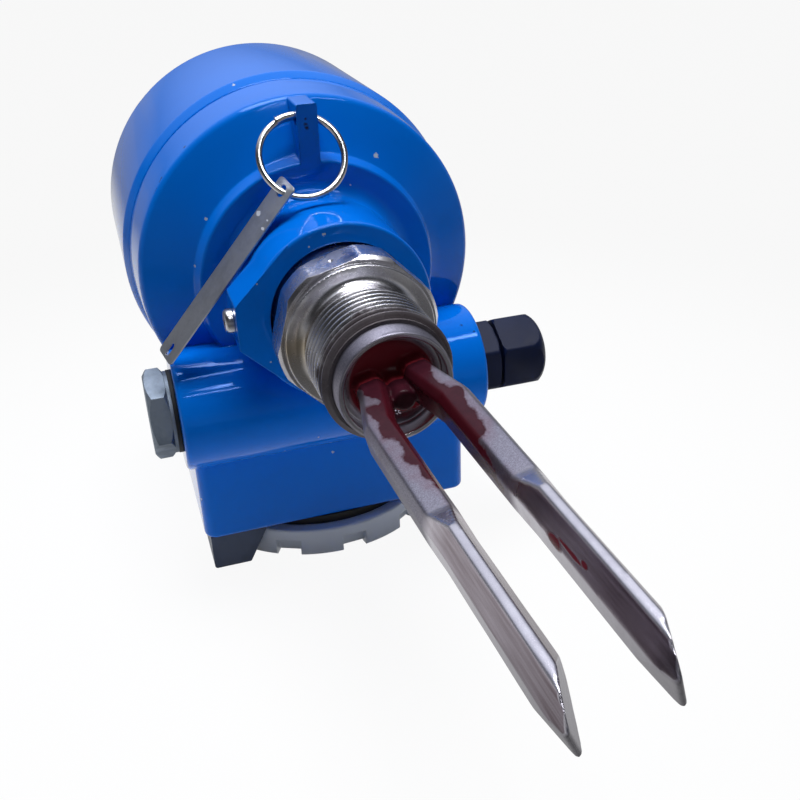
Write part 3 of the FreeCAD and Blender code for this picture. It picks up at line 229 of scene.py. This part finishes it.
def fork_steel():
    """Stainless fork: bead-blasted pads, ground blades under a thin film, dried red product at the roots."""
    material, tree, shader, place = start_material("bead-blasted stainless with residue")
    facing = add(tree, "ShaderNodeTexCoord", out="Normal")
    parts = add(tree, SPLIT, links={0: place}, out=None)
    radius = from_axis(tree, parts)
    # Clouds of 3.3 mm. The beads' dimples are drawn at 0.28 mm, coarser than in life, so that they show.
    cloud = add(tree, NOISE, {}, {"Scale": 1 / (3.33 * MM), "Detail": 4, "Roughness": 0.62},
                {"Vector": place})
    beads = add(tree, NOISE, {}, {"Scale": 1 / (0.278 * MM), "Detail": 2}, {"Vector": place})

    # Bare metal: finely speckled pads and sleeve, smoother lip and blades.
    outside = add(tree, RANGE, {}, {FROM: -14.75 * MM, TO: -15.1 * MM}, {VALUE: parts["Y"]})
    before_ramp = add(tree, RANGE, {}, {FROM: -71 * MM, TO: -67 * MM}, {VALUE: parts["Y"]})
    sleeve = add(tree, RANGE, {}, {FROM: 13.6 * MM, TO: 13.9 * MM}, {VALUE: radius})
    pads = add(tree, MATH, TIMES, links={0: outside, 1: before_ramp})
    blasted = add(tree, MIX, NUMBERS, links={SHARE: outside, NUMBER_A: sleeve, NUMBER_B: pads})
    speckle = add(tree, RANGE, {}, {FROM: 0.38, TO: 0.66}, {VALUE: beads})
    matt = add(tree, MIX, COLOURS, tones("777481", "92909d"), {SHARE: speckle}, MIXED)
    bright = add(tree, MIX, COLOURS, tones("dedce4", "bdb8c3"), {SHARE: cloud}, MIXED)
    metal = add(tree, MIX, COLOURS, links={SHARE: blasted, COLOUR_A: bright, COLOUR_B: matt}, out=MIXED)

    # Thin film on the blades' slopes, picked by which way they face, wiped off their ridges, cheeks and ground
    # ends; streaks 1.1 by 22 mm.
    # Its darker brown-grey is partly a real film and partly a painted dark reflection of the room that the
    # slopes face.
    rise = add(tree, VECTOR, DOT, {1: TINE_UP}, {0: facing}, "Value")
    rise = add(tree, MATH, SIZE, links={0: rise})
    film_and_reflection_slope = add(tree, RANGE, {}, {FROM: 0.75, TO: 0.5}, {VALUE: rise})
    cheek = add(tree, RANGE, {}, {FROM: 0.12, TO: 0.28}, {VALUE: rise})
    end_on = add(tree, VECTOR, DOT, {1: ALONG}, {0: facing}, "Value")
    end_on = add(tree, MATH, SIZE, links={0: end_on})
    ground = add(tree, RANGE, {}, {FROM: 0.13, TO: 0.08}, {VALUE: end_on})
    blade = add(tree, RANGE, {}, {FROM: -64 * MM, TO: -78 * MM, LOW: 0.0, HIGH: 0.9}, {VALUE: parts["Y"]})
    film = film_and_reflection_slope
    for limit in (cheek, ground, blade):
        film = add(tree, MATH, TIMES, links={0: film, 1: limit})
    drawn = add(tree, STRETCH, {}, {"Scale": [1.0, 0.05, 1.0]}, {"Vector": place})
    streak = add(tree, NOISE, {}, {"Scale": 1 / (1.11 * MM), "Detail": 3}, {"Vector": drawn})
    streak = add(tree, RANGE, {}, {FROM: 0.35, TO: 0.68}, {VALUE: streak})
    # Partly film, partly painted dark reflection: the brown-grey laid on the slopes.
    brown_film_and_reflection = add(tree, MIX, COLOURS, tones("9c929c", "68575f"), {SHARE: streak}, MIXED)
    metal = add(tree, MIX, COLOURS, links={SHARE: film, COLOUR_A: metal, COLOUR_B: brown_film_and_reflection}, out=MIXED)

    # Dried product runs down the side of each tine that faces the other. Its reach is in metres past its
    # edge, which wanders in lobes of 4.8 by 8.7 mm and is nibbled by the clouds.
    side = add(tree, VECTOR, DOT, {1: TINE_ACROSS}, {0: place}, "Value")
    across = add(tree, MATH, SIZE, links={0: side})
    middle = add(tree, RANGE, {}, {FROM: -16.6 * MM, TO: -31.2 * MM, LOW: 5.9 * MM, HIGH: 8.85 * MM},
                 {VALUE: parts["Y"]})
    root = add(tree, RANGE, {}, {FROM: -24 * MM, TO: -11 * MM, LOW: 0.6 * MM, HIGH: 5 * MM},
               {VALUE: parts["Y"]})
    run_dry = add(tree, RANGE, {}, {FROM: -42 * MM, TO: -80 * MM, LOW: 0.0, HIGH: -8.0 * MM},
                  {VALUE: parts["Y"]})
    long = add(tree, STRETCH, {}, {"Scale": [1.0, 0.55, 1.0]}, {"Vector": place})
    lobes = add(tree, NOISE, {}, {"Scale": 1 / (4.76 * MM), "Detail": 1, "Roughness": 0.4},
                {"Vector": long})
    ragged = add(tree, RANGE, UNCLAMPED, {FROM: 0.3, TO: 0.7, LOW: -1.4 * MM, HIGH: 1.4 * MM},
                 {VALUE: lobes})
    nibbled = add(tree, RANGE, UNCLAMPED, {FROM: 0.35, TO: 0.65, LOW: -0.45 * MM, HIGH: 0.45 * MM},
                  {VALUE: cloud})
    reach = add(tree, MATH, MINUS, links={0: middle, 1: across})
    for change in (root, run_dry, ragged, nibbled):
        reach = add(tree, MATH, PLUS, links={0: reach, 1: change})
    on_tine = add(tree, RANGE, {}, {FROM: -0.3 * MM, TO: 0.3 * MM}, {VALUE: reach})
    # It fills the recess of the cup, apart from a wiped patch low down.
    recess = add(tree, RANGE, {}, {FROM: 11.3 * MM, TO: 10.2 * MM}, {VALUE: radius})
    kept = add(tree, RANGE, {}, {FROM: -11 * MM, TO: -5 * MM, LOW: -0.3, HIGH: 0.4}, {VALUE: parts["Z"]})
    kept = add(tree, MATH, PLUS, links={0: kept, 1: cloud})
    kept = add(tree, RANGE, {}, {FROM: 0.45, TO: 0.52}, {VALUE: kept})
    recess = add(tree, MATH, TIMES, links={0: recess, 1: kept})
    residue = add(tree, MIX, NUMBERS, links={SHARE: outside, NUMBER_A: recess, NUMBER_B: on_tine})
    # Its thinned edge tints the speckled pad.
    wash = add(tree, RANGE, {}, {FROM: -3.5 * MM, TO: 0.5 * MM, HIGH: 0.8}, {VALUE: reach})
    for limit in (cloud, outside):
        wash = add(tree, MATH, TIMES, links={0: wash, 1: limit})
    metal = add(tree, MIX, COLOURS, {COLOUR_B: linear("6b3a48")}, {SHARE: wash, COLOUR_A: metal}, MIXED)
    # Thick and dark on top, redder where it hangs between the tines and in the drops. In the recess it is a
    # paler red: real residue, drawn paler as painted light on the cup's shaded inside.
    stain = add(tree, MIX, COLOURS, tones("4a1b27", "2a0f19"), {SHARE: cloud}, MIXED)
    turned_in = add(tree, VECTOR, DOT, {1: TINE_ACROSS}, {0: facing}, "Value")
    turned_in = add(tree, MATH, TIMES, links={0: turned_in, 1: side})
    hung = add(tree, RANGE, {}, {FROM: -1.0 * MM, TO: -5.0 * MM, HIGH: 0.8}, {VALUE: turned_in})
    stain = add(tree, MIX, COLOURS, {COLOUR_B: linear("4c0e19")}, {SHARE: hung, COLOUR_A: stain}, MIXED)
    # Painted light: the residue in the cup's recess is drawn a paler red than outside.
    stain = add(tree, MIX, COLOURS, {COLOUR_A: linear("8e2a35")}, {SHARE: outside, COLOUR_B: stain}, MIXED)
    torn = add(tree, RANGE, {}, {FROM: 0.25, TO: 0.75, LOW: 0.75, HIGH: 1.3}, {VALUE: cloud})
    drop = marked(tree, place, torn, RED_DROPS, 0.36)
    residue = add(tree, MATH, LARGER, links={0: residue, 1: drop})
    stain = add(tree, MIX, COLOURS, {COLOUR_B: linear("6e1526")}, {SHARE: drop, COLOUR_A: stain}, MIXED)

    skin = add(tree, MIX, COLOURS, links={SHARE: residue, COLOUR_A: metal, COLOUR_B: stain}, out=MIXED)
    bare = add(tree, MATH, MINUS, {0: 1.0}, {1: residue})
    tree.links.new(bare, shader.inputs["Metallic"])
    rough = add(tree, RANGE, {}, {FROM: 0.0, TO: 1.0, LOW: 0.26, HIGH: 0.45}, {VALUE: blasted})
    rough = add(tree, MIX, NUMBERS, {NUMBER_B: 0.27}, {SHARE: residue, NUMBER_A: rough})
    crust = 2.5
    relief = add(tree, MATH, {"operation": "MULTIPLY_ADD"}, {1: crust}, {0: residue, 2: beads})
    lay_finish(tree, shader, skin, rough, relief, edge=0.35, strength=0.25, depth=0.06)
    shader.inputs["Specular IOR Level"].default_value = 0.1
    return material


def turned_stainless():
    """Turned stainless adapter: bright, a straw film on its neck, darker grey in the thread's roots, red in
    the last turns.

    Clouds of 7.7 mm, film in patches of 18 mm. The lathe's rings are drawn 0.4 mm apart, coarser than in
    life, so that they show.
    """
    material, tree, shader, place = start_material("turned stainless")
    parts = add(tree, SPLIT, links={0: place}, out=None)
    radius = from_axis(tree, parts)
    cloud = add(tree, NOISE, {}, {"Scale": 1 / (7.69 * MM), "Detail": 5, "Roughness": 0.62},
                {"Vector": place})
    shade = add(tree, RANGE, {}, {FROM: 0.4, TO: 0.72}, {VALUE: cloud})
    skin = add(tree, MIX, COLOURS, tones("dcdbe0", "aeabb3"), {SHARE: shade}, MIXED)
    film = add(tree, RANGE, {}, {FROM: 6 * MM, TO: 11 * MM}, {VALUE: parts["Y"]})
    before_hexagon = add(tree, RANGE, {}, {FROM: 17.5 * MM, TO: 16 * MM}, {VALUE: parts["Y"]})
    left = add(tree, RANGE, {}, {FROM: -3 * MM, TO: -11 * MM}, {VALUE: parts["X"]})
    patch = add(tree, NOISE, {}, {"Scale": 1 / (18.2 * MM), "Detail": 3}, {"Vector": place})
    patch = add(tree, RANGE, {}, {FROM: 0.4, TO: 0.65, HIGH: 0.6}, {VALUE: patch})
    for limit in (before_hexagon, patch, left):
        film = add(tree, MATH, TIMES, links={0: film, 1: limit})
    # The thread's roots are drawn a darker grey.
    root = add(tree, RANGE, {}, {FROM: 16.45 * MM, TO: 15.7 * MM, HIGH: 0.9}, {VALUE: radius})
    turns = add(tree, MATH, SIZE, links={0: parts["Y"]})
    turns = add(tree, RANGE, {}, {FROM: 9.0 * MM, TO: 7.6 * MM}, {VALUE: turns})
    root = add(tree, MATH, TIMES, links={0: root, 1: turns})
    end = add(tree, RANGE, UNCLAMPED, {FROM: 0.0, TO: -7 * MM, LOW: -0.25, HIGH: 0.2}, {VALUE: parts["Y"]})
    wet = add(tree, MATH, PLUS, links={0: end, 1: cloud})
    residue = add(tree, RANGE, {}, {FROM: 0.46, TO: 0.6, HIGH: 0.8}, {VALUE: wet})
    for tone, share in (("a8945e", film), ("322f31", root), ("2a1317", residue)):
        skin = add(tree, MIX, COLOURS, {COLOUR_B: linear(tone)}, {SHARE: share, COLOUR_A: skin}, MIXED)
    bare = add(tree, MATH, MINUS, {0: 1.0}, {1: residue})
    tree.links.new(bare, shader.inputs["Metallic"])
    rough = add(tree, RANGE, {}, {FROM: 0.3, TO: 0.75, LOW: 0.17, HIGH: 0.36}, {VALUE: cloud})
    laid = add(tree, STRETCH, {}, {"Scale": [0.04, 1.0, 0.04]}, {"Vector": place})
    rings = add(tree, NOISE, {}, {"Scale": 1 / (0.385 * MM), "Detail": 2}, {"Vector": laid})
    lay_finish(tree, shader, skin, rough, rings, edge=0.3, strength=0.2, depth=0.05)
    shader.inputs["Specular IOR Level"].default_value = 0.15
    return material


def start_tree(name, result, sizes):
    """A geometry tree with named inputs for its sizes, its place and its finish."""
    tree = bpy.data.node_groups.new(name, "GeometryNodeTree")
    tree.interface.new_socket(result, in_out="OUTPUT", socket_type="NodeSocketGeometry")
    ports = [(size, "Float") for size in sizes]
    ports += [("Place", "Vector"), ("Turned", "Vector"), ("Finish", "Material")]
    for port, kind in ports:
        tree.interface.new_socket(port, in_out="INPUT", socket_type="NodeSocket" + kind)
    return tree, add(tree, "NodeGroupInput", out=None)


def end_tree(tree, shape, given):
    """Puts the shape in its place, real and in its finish."""
    shape = add(tree, "GeometryNodeTransform", links={
        "Geometry": shape, "Translation": given["Place"], "Rotation": given["Turned"]})
    shape = add(tree, "GeometryNodeRealizeInstances", links={"Geometry": shape})
    shape = add(tree, "GeometryNodeSetMaterial", links={"Geometry": shape, "Material": given["Finish"]})
    add(tree, "NodeGroupOutput", links={0: shape}, out=None)


def screw_thread_tree():
    """A right-hand ridge round an axis: a trapezoid swept along a spiral, run out to nothing at its ends."""
    points_a_turn, foot_share, ends_a_turn = 96, 0.96, 3.0
    sizes = ("Root radius", "Pitch", "Turns", "Depth", "Crest width")
    tree, given = start_tree("screw thread", "Ridge", sizes)
    climb = add(tree, MATH, TIMES, links={0: given["Pitch"], 1: given["Turns"]})
    path = add(tree, "GeometryNodeCurveSpiral", {}, {"Resolution": points_a_turn, "Reverse": True}, {
        "Rotations": given["Turns"], "Height": climb,
        "Start Radius": given["Root radius"], "End Radius": given["Root radius"]})
    path = add(tree, "GeometryNodeSetCurveNormal", {"mode": "Z_UP"}, links={"Curve": path})
    foot = add(tree, MATH, TIMES, {1: foot_share}, {0: given["Pitch"]})
    flank = add(tree, "GeometryNodeCurvePrimitiveQuadrilateral", {"mode": "TRAPEZOID"}, {"Offset": 0.0}, {
        "Bottom Width": foot, "Top Width": given["Crest width"], "Height": given["Depth"]})
    half = add(tree, MATH, OVER, {1: 2.0}, {0: given["Depth"]})
    outwards = add(tree, JOIN, links={"X": half})
    flank = add(tree, "GeometryNodeTransform", values={"Rotation": (0, 0, -math.pi / 2)},
                links={"Geometry": flank, "Translation": outwards})
    along = add(tree, "GeometryNodeSplineParameter", out="Factor")
    back = add(tree, MATH, MINUS, {0: 1.0}, {1: along})
    near = add(tree, MATH, SMALLER, links={0: along, 1: back})
    turns = add(tree, MATH, TIMES, links={0: near, 1: given["Turns"]})
    run_out = add(tree, MATH, {"operation": "MULTIPLY", "use_clamp": True}, {1: ends_a_turn}, {0: turns})
    ridge = add(tree, "GeometryNodeCurveToMesh", values={"Fill Caps": True},
                links={"Curve": path, "Profile Curve": flank, "Scale": run_out})
    end_tree(tree, ridge, given)
    return tree


def split_ring_tree():
    """A spring-wire ring whose two ends lie side by side over part of a turn."""
    points_a_turn, points_round = 96, 16
    sizes = ("Radius", "Wire", "Turns", "Rise", "First end")
    tree, given = start_tree("split ring", "Ring", sizes)
    wire = add(tree, "GeometryNodeCurveSpiral", values={"Resolution": points_a_turn}, links={
        "Rotations": given["Turns"], "Height": given["Rise"],
        "Start Radius": given["Radius"], "End Radius": given["Radius"]})
    section = add(tree, "GeometryNodeCurvePrimitiveCircle", values={"Resolution": points_round},
                  links={"Radius": given["Wire"]})
    wire = add(tree, "GeometryNodeCurveToMesh", values={"Fill Caps": True},
               links={"Curve": wire, "Profile Curve": section})
    clock = add(tree, JOIN, links={"Z": given["First end"]})
    sink = add(tree, MATH, OVER, {1: -2.0}, {0: given["Rise"]})
    sink = add(tree, JOIN, links={"Z": sink})
    wire = add(tree, "GeometryNodeTransform",
               links={"Geometry": wire, "Translation": sink, "Rotation": clock})
    end_tree(tree, wire, given)
    return tree


def soften(mesh, degrees):
    """Smooth shading with sharp edges where faces meet at more than that angle."""
    same_point = 0.002 * MM
    shape = bmesh.new()
    shape.from_mesh(mesh)
    bmesh.ops.remove_doubles(shape, verts=shape.verts, dist=same_point)
    limit = math.radians(degrees)
    for face in shape.faces:
        face.smooth = True
    for edge in shape.edges:
        edge.smooth = len(edge.link_faces) == 2 and edge.calc_face_angle(math.pi) < limit
    shape.to_mesh(mesh)
    shape.free()


def put(name, data):
    """A new object at the origin of the scene."""
    made = bpy.data.objects.new(name, data)
    scene.collection.objects.link(made)
    return made


def as_seen(thing):
    """The mesh that an object's modifiers give."""
    return bpy.data.meshes.new_from_object(thing.evaluated_get(bpy.context.evaluated_depsgraph_get()))


def round_over(mesh):
    """Gives the fork's tines a casting's soft edges and root fillets; its turned cup and diaphragm stay."""
    cup_radius, cup_end, diaphragm = 12.0 * MM, -15.3 * MM, -10.15 * MM
    draft = put("draft", mesh.copy())
    skin = draft.modifiers.new("skin", "REMESH")
    skin.mode = "VOXEL"
    skin.voxel_size = 0.4 * MM
    flow = draft.modifiers.new("flow", "SMOOTH")
    flow.factor = 0.5
    flow.iterations = 8
    soft = as_seen(draft)
    bpy.data.objects.remove(draft)
    joined = bmesh.new()
    for source, cast in ((mesh, False), (soft, True)):
        shape = bmesh.new()
        shape.from_mesh(source)
        others = []
        for face in shape.faces:
            x, y, z = face.calc_center_median()
            tine = y < diaphragm and (y < cup_end or math.hypot(x, z) < cup_radius)
            if tine != cast:
                others.append(face)
        bmesh.ops.delete(shape, geom=others, context="FACES")
        half = bpy.data.meshes.new("half")
        shape.to_mesh(half)
        joined.from_mesh(half)
        shape.free()
    joined.to_mesh(mesh)
    joined.free()
    soften(mesh, TINE_CREASE)


def attach(piece, body):
    """Gives a finished piece its body."""
    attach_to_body(piece, body)
    return piece


def grow(tree, name, body, sizes):
    """Runs a tree once and keeps its result as a plain mesh that rides a body."""
    piece = put(name, bpy.data.meshes.new(name))
    growth = piece.modifiers.new("growth", "NODES")
    growth.node_group = tree
    ports = {item.name: item.identifier for item in tree.interface.items_tree if item.in_out == "INPUT"}
    for key, value in sizes.items():
        growth[ports[key]] = value
    mesh = as_seen(piece)
    piece.modifiers.clear()
    piece.data = mesh
    soften(mesh, GROWN_CREASE)
    return attach(piece, body)


def dress(node, body, material, rings=()):
    """A smooth-shaded copy of a solid in its finish; each ring of its points is brought to a new radius."""
    mesh = solids[node].data.copy()
    mesh.materials.clear()
    mesh.materials.append(material)
    soften(mesh, SOLID_CREASE)
    if node == "fork":
        round_over(mesh)
    for axis, centre, *sizes in rings:
        first, last, least, most, radius = (size * MM for size in sizes)
        for vertex in mesh.vertices:
            away = vertex.co - centre
            along = away.dot(axis)
            arm = away - axis * along
            if first <= along <= last and least <= arm.length <= most:
                vertex.co = centre + axis * along + arm * (radius / arm.length)
    mesh.update()
    piece = attach(put(node + "_finished", mesh), body)
    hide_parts(node)
    return piece


finishes = {
    # Saturated wet blue with a cool sheen, chipped and specked by use; pale cool grey with the same gloss.
    "blue_enamel": stove_enamel("blue stove enamel", "0278ea", "026edc", "8fb8ff", PALE_CHIPS, DARK_SPECKS),
    "grey_enamel": stove_enamel("slate grey stove enamel", "e9eef4", "dae1e9", "ffffff"),
    # Bright turned steel, silvery plated screws, cloudy dull zinc and warm yellow brass.
    "stainless": turned_stainless(),
    "steel_parts": bare_steel("plated screw steel", "c4c4c6", "8f8f93", 0.28),
    "zinc_plug": bare_steel("dull zinc plating", "939eac", "6d7783", 0.56, 1.25),
    "terminal_brass": bare_steel("plated terminal brass", "c9a75a", "a08242", 0.3),
    # Dark and hardly shining: slate lacquer on the clamp, polyamide of the gland, rubber of the seals.
    "blackened_clamp": moulded("dark slate lacquer", "49546b", "3d475c", 0.4, 0.3),
    "gland_nylon": moulded("navy black polyamide", "0b1738", "131f42", 0.42, 0.2),
    "seal_rubber": moulded("black nitrile rubber", "121212", "1e1e1e", 0.6),
    # Inside: matt dark plastic, ivory switch knobs, glossy red lenses and chalky ceramic.
    "insert_plastic": moulded("dark grey moulded plastic", "2b2d30", "3a3d41", 0.5),
    "switch_plastic": moulded("ivory moulded plastic", "d9d5c6", "c6c1af", 0.4),
    "lamp_plastic": moulded("red lamp lens", "a32018", "7c150f", 0.2),
    "ceramic": moulded("fired white ceramic", "dcd8cc", "c7c2b4", 0.35),
}
# Pieces whose finish differs from their slot's: the fork, a scuffed sheet and a bright hard wire.
own_finish = {
    "fork": fork_steel(),
    "tag_plate": bare_steel("scuffed sheet steel", "c6c8ce", "92949b", 0.4, 2.5, TAG_NICKS),
    "tag_ring": bare_steel("bright spring wire", "d6d6d6", "a9a9ad", 0.2),
}
bodies = frame["record"]["behaviour"]["bodies"]
body_of = {node: body for body, members in bodies.items() for node in members}
slot_of = {entry["node"]: entry["material_slot"] for entry in frame["record"]["subparts"]}

BACK = Vector(ALONG)
UP = Vector((0, 0, 1))
FORK_AXIS = Vector()
CAP_AXIS = Vector((0, 97.4 * MM, 0))
# Plain threads are drawn in to their roots, and the neck's mouth is opened behind the hexagon: axis and
# centre, then in millimetres first and last place along it, least and greatest radius, and the new radius.
drawn_in = {
    "process_adapter": [(BACK, FORK_AXIS, -9.5, 9.45, 15.25, 16.7, 15.25)],
    "housing": [(BACK, FORK_AXIS, 90.8, 108, 46.2, 47.6, 46.2),
                (UP, CAP_AXIS, -91.1, -82.05, 36.4, 37.3, 36.4),
                (BACK, FORK_AXIS, 32.8, 33.2, 19.0, 19.6, 20.3)],
}
for node in solids:
    if node == "tag_ring":
        continue
    finish = own_finish.get(node, finishes[slot_of[node]])
    dress(node, body_of[node], finish, drawn_in.get(node, ()))

thread = screw_thread_tree()
FORWARDS = (math.pi / 2, 0, 0)
grow(thread, "pipe_thread", "sensor", {
    "Root radius": 15.2 * MM, "Pitch": 2.309 * MM, "Turns": 8.0,
    "Depth": 1.42 * MM, "Crest width": 0.42 * MM,
    "Place": (0, 9.2 * MM, 0), "Turned": FORWARDS, "Finish": finishes["stainless"]})
grow(thread, "cover_thread", "housing", {
    "Root radius": 46.15 * MM, "Pitch": 3 * MM, "Turns": 5.2,
    "Depth": 1.3 * MM, "Crest width": 0.9 * MM,
    "Place": (0, 107.2 * MM, 0), "Turned": FORWARDS, "Finish": finishes["blue_enamel"]})
grow(thread, "cap_thread", "housing", {
    "Root radius": 36.35 * MM, "Pitch": 1.5 * MM, "Turns": 4.6,
    "Depth": 0.8 * MM, "Crest width": 0.4 * MM,
    "Place": (0, 97.4 * MM, -90.3 * MM), "Turned": (0, 0, 0), "Finish": finishes["blue_enamel"]})

ring = grow(split_ring_tree(), "tag_ring_finished", "tag_ring", {
    "Radius": 11.8 * MM, "Wire": 0.98 * MM, "Turns": 1.1, "Rise": -1.4 * MM, "First end": math.radians(117),
    "Place": (-3.054 * MM, 57.035 * MM, 37.703 * MM), "Turned": (math.radians(54), 0, 0),
    "Finish": own_finish["tag_ring"]})
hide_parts("tag_ring")

# The floor: white paper to the eye. Its own colour is painted pale near the part and dark further off, a
# painted pool of lamplight. In a polished face it shows dark in front of the part, a painted shadow, pale
# behind it and grey far off.
paper, tree, shader, spot = start_material("white paper floor")
shader.inputs["Roughness"].default_value = 0.9
parts = add(tree, SPLIT, links={0: spot}, out=None)
# Painted shadow: seen in a polished face, the floor glows dark in front of the part and pale behind it.
painted_shadow_in_front = add(tree, RANGE, EASED, {FROM: -0.16, TO: 0.12, LOW: 0.09, HIGH: 0.9}, {VALUE: parts["Y"]})
away = add(tree, VECTOR, {"operation": "DISTANCE"}, {1: (0, 0.06, 0)}, {0: spot}, "Value")
# Painted pool of light: the paper's colour runs from pale near the part to dark further off.
painted_light_pool = add(tree, RANGE, EASED, {FROM: 0.1, TO: 0.38}, {VALUE: away})
sheet = add(tree, MIX, COLOURS, tones("f4f4f4", "484848"), {SHARE: painted_light_pool}, MIXED)
tree.links.new(sheet, shader.inputs["Base Color"])
far = add(tree, RANGE, EASED, {FROM: 0.28, TO: 0.75}, {VALUE: away})
mirrored = add(tree, MIX, NUMBERS, {NUMBER_B: 0.3}, {SHARE: far, NUMBER_A: painted_shadow_in_front})
rays = add(tree, RAYS, out=None)
strength = add(tree, MIX, NUMBERS, {NUMBER_B: 1.0}, {SHARE: rays["Is Camera Ray"], NUMBER_A: mirrored})
glow = add(tree, "ShaderNodeEmission", {}, {"Color": linear("ffffff")}, {"Strength": strength})
bounced = add(tree, MATH, LARGER, links={0: rays["Is Glossy Ray"], 1: rays["Is Transmission Ray"]})
WHITENED = 0.93
seen = add(tree, MATH, TIMES, {1: WHITENED}, {0: rays["Is Camera Ray"]})
seen = add(tree, MATH, LARGER, links={0: seen, 1: bounced})
blend = add(tree, "ShaderNodeMixShader", links={0: seen, 1: shader.outputs[0], 2: glow})
tree.links.new(blend, tree.nodes["Material Output"].inputs["Surface"])
floor_mesh = bpy.data.meshes.new("floor")
EDGE, DROP = 6.0, 0.0002
corners = [(x * EDGE, y * EDGE, cad_box[0][2] - DROP) for x, y in ((-1, -1), (1, -1), (1, 1), (-1, 1))]
floor_mesh.from_pydata(corners, [], [(0, 1, 2, 3)])
floor_mesh.materials.append(paper)
floor = put("floor", floor_mesh)

# Lamps: place, width and depth, watts, and whether they light the part and show in its polish.
LAMP_TINT = (0.97, 0.98, 1.0)
LAMP_AIM = Vector((0, 0.05, 0))
for name, place, size, power, lights, shows in (
        ("overhead panel", (0.0, 0.14, 1.2), (0.6, 0.6), 13.5, True, True),
        ("left fill", (-0.9, 0.3, 0.5), (0.5, 0.5), 0.6, True, False),
        ("right fill", (0.6, -0.7, 0.3), (0.5, 0.5), 0.5, True, False),
        ("overhead tube", (0.35, -0.45, 1.1), (0.9, 0.1), 5.5, False, True),
        ("front tube", (0.1, -0.78, 0.95), (0.4, 0.03), 0.8, False, True)):
    lamp = bpy.data.lights.new(name, "AREA")
    lamp.shape = "RECTANGLE"
    lamp.size, lamp.size_y = size
    lamp.energy = power
    lamp.color = LAMP_TINT
    holder = put(name, lamp)
    holder.location = place
    holder.rotation_euler = (LAMP_AIM - Vector(place)).to_track_quat("-Z", "Y").to_euler()
    holder.visible_diffuse = lights
    holder.visible_glossy = shows

# The room: a bright ceiling high behind the part and grey walls, white to the camera itself.
CEILING_WAY = (0.0, 0.57, 0.82)
world = bpy.data.worlds.new("studio room")
scene.world = world
world.use_nodes = True
tree = world.node_tree
room = tree.nodes["Background"]
way = add(tree, "ShaderNodeTexCoord", out="Generated")
rays = add(tree, RAYS, out=None)
lift = add(tree, VECTOR, DOT, {1: CEILING_WAY}, {0: way}, "Value")
ceiling = add(tree, RANGE, EASED, {FROM: 0.5, TO: 0.98, LOW: 0.03, HIGH: 1.0}, {VALUE: lift})
height = add(tree, SPLIT, links={0: way}, out="Z")
grey = add(tree, MIX, NUMBERS, {NUMBER_A: 0.1, NUMBER_B: 0.3}, {SHARE: rays["Is Glossy Ray"]})
walls = add(tree, RANGE, EASED, {FROM: 0.4, TO: 0.0, LOW: 0.0}, {VALUE: height, HIGH: grey})
light = add(tree, MATH, LARGER, links={0: ceiling, 1: walls})
strength = add(tree, MIX, NUMBERS, {NUMBER_B: 1.0}, {SHARE: rays["Is Camera Ray"], NUMBER_A: light})
tree.links.new(strength, room.inputs["Strength"])
tint = add(tree, MIX, COLOURS, tones("eef3ff", "ffffff"),
           {SHARE: rays["Is Camera Ray"]}, MIXED)
tree.links.new(tint, room.inputs["Color"])

# The camera at the photograph's viewing angle: focal length and picture side in pixels.
FOCAL, SIDE, SENSOR = 1006, 800, 36.0
camera_data = bpy.data.cameras.new("camera")
camera_data.sensor_width = SENSOR
camera_data.lens = SENSOR * FOCAL / SIDE
camera_data.clip_start = 0.01
right = Vector((0.951, -0.306, -0.036)).normalized()
ahead = Vector((0.253, 0.844, -0.473))
ahead = (ahead - right * ahead.dot(right)).normalized()
turn = Matrix((right, right.cross(ahead), -ahead)).transposed().to_4x4()
camera = put("camera", camera_data)
camera.matrix_world = Matrix.Translation((-59.2 * MM, -213.5 * MM, 108.4 * MM)) @ turn
scene.camera = camera
scene.view_settings.view_transform = "Standard"
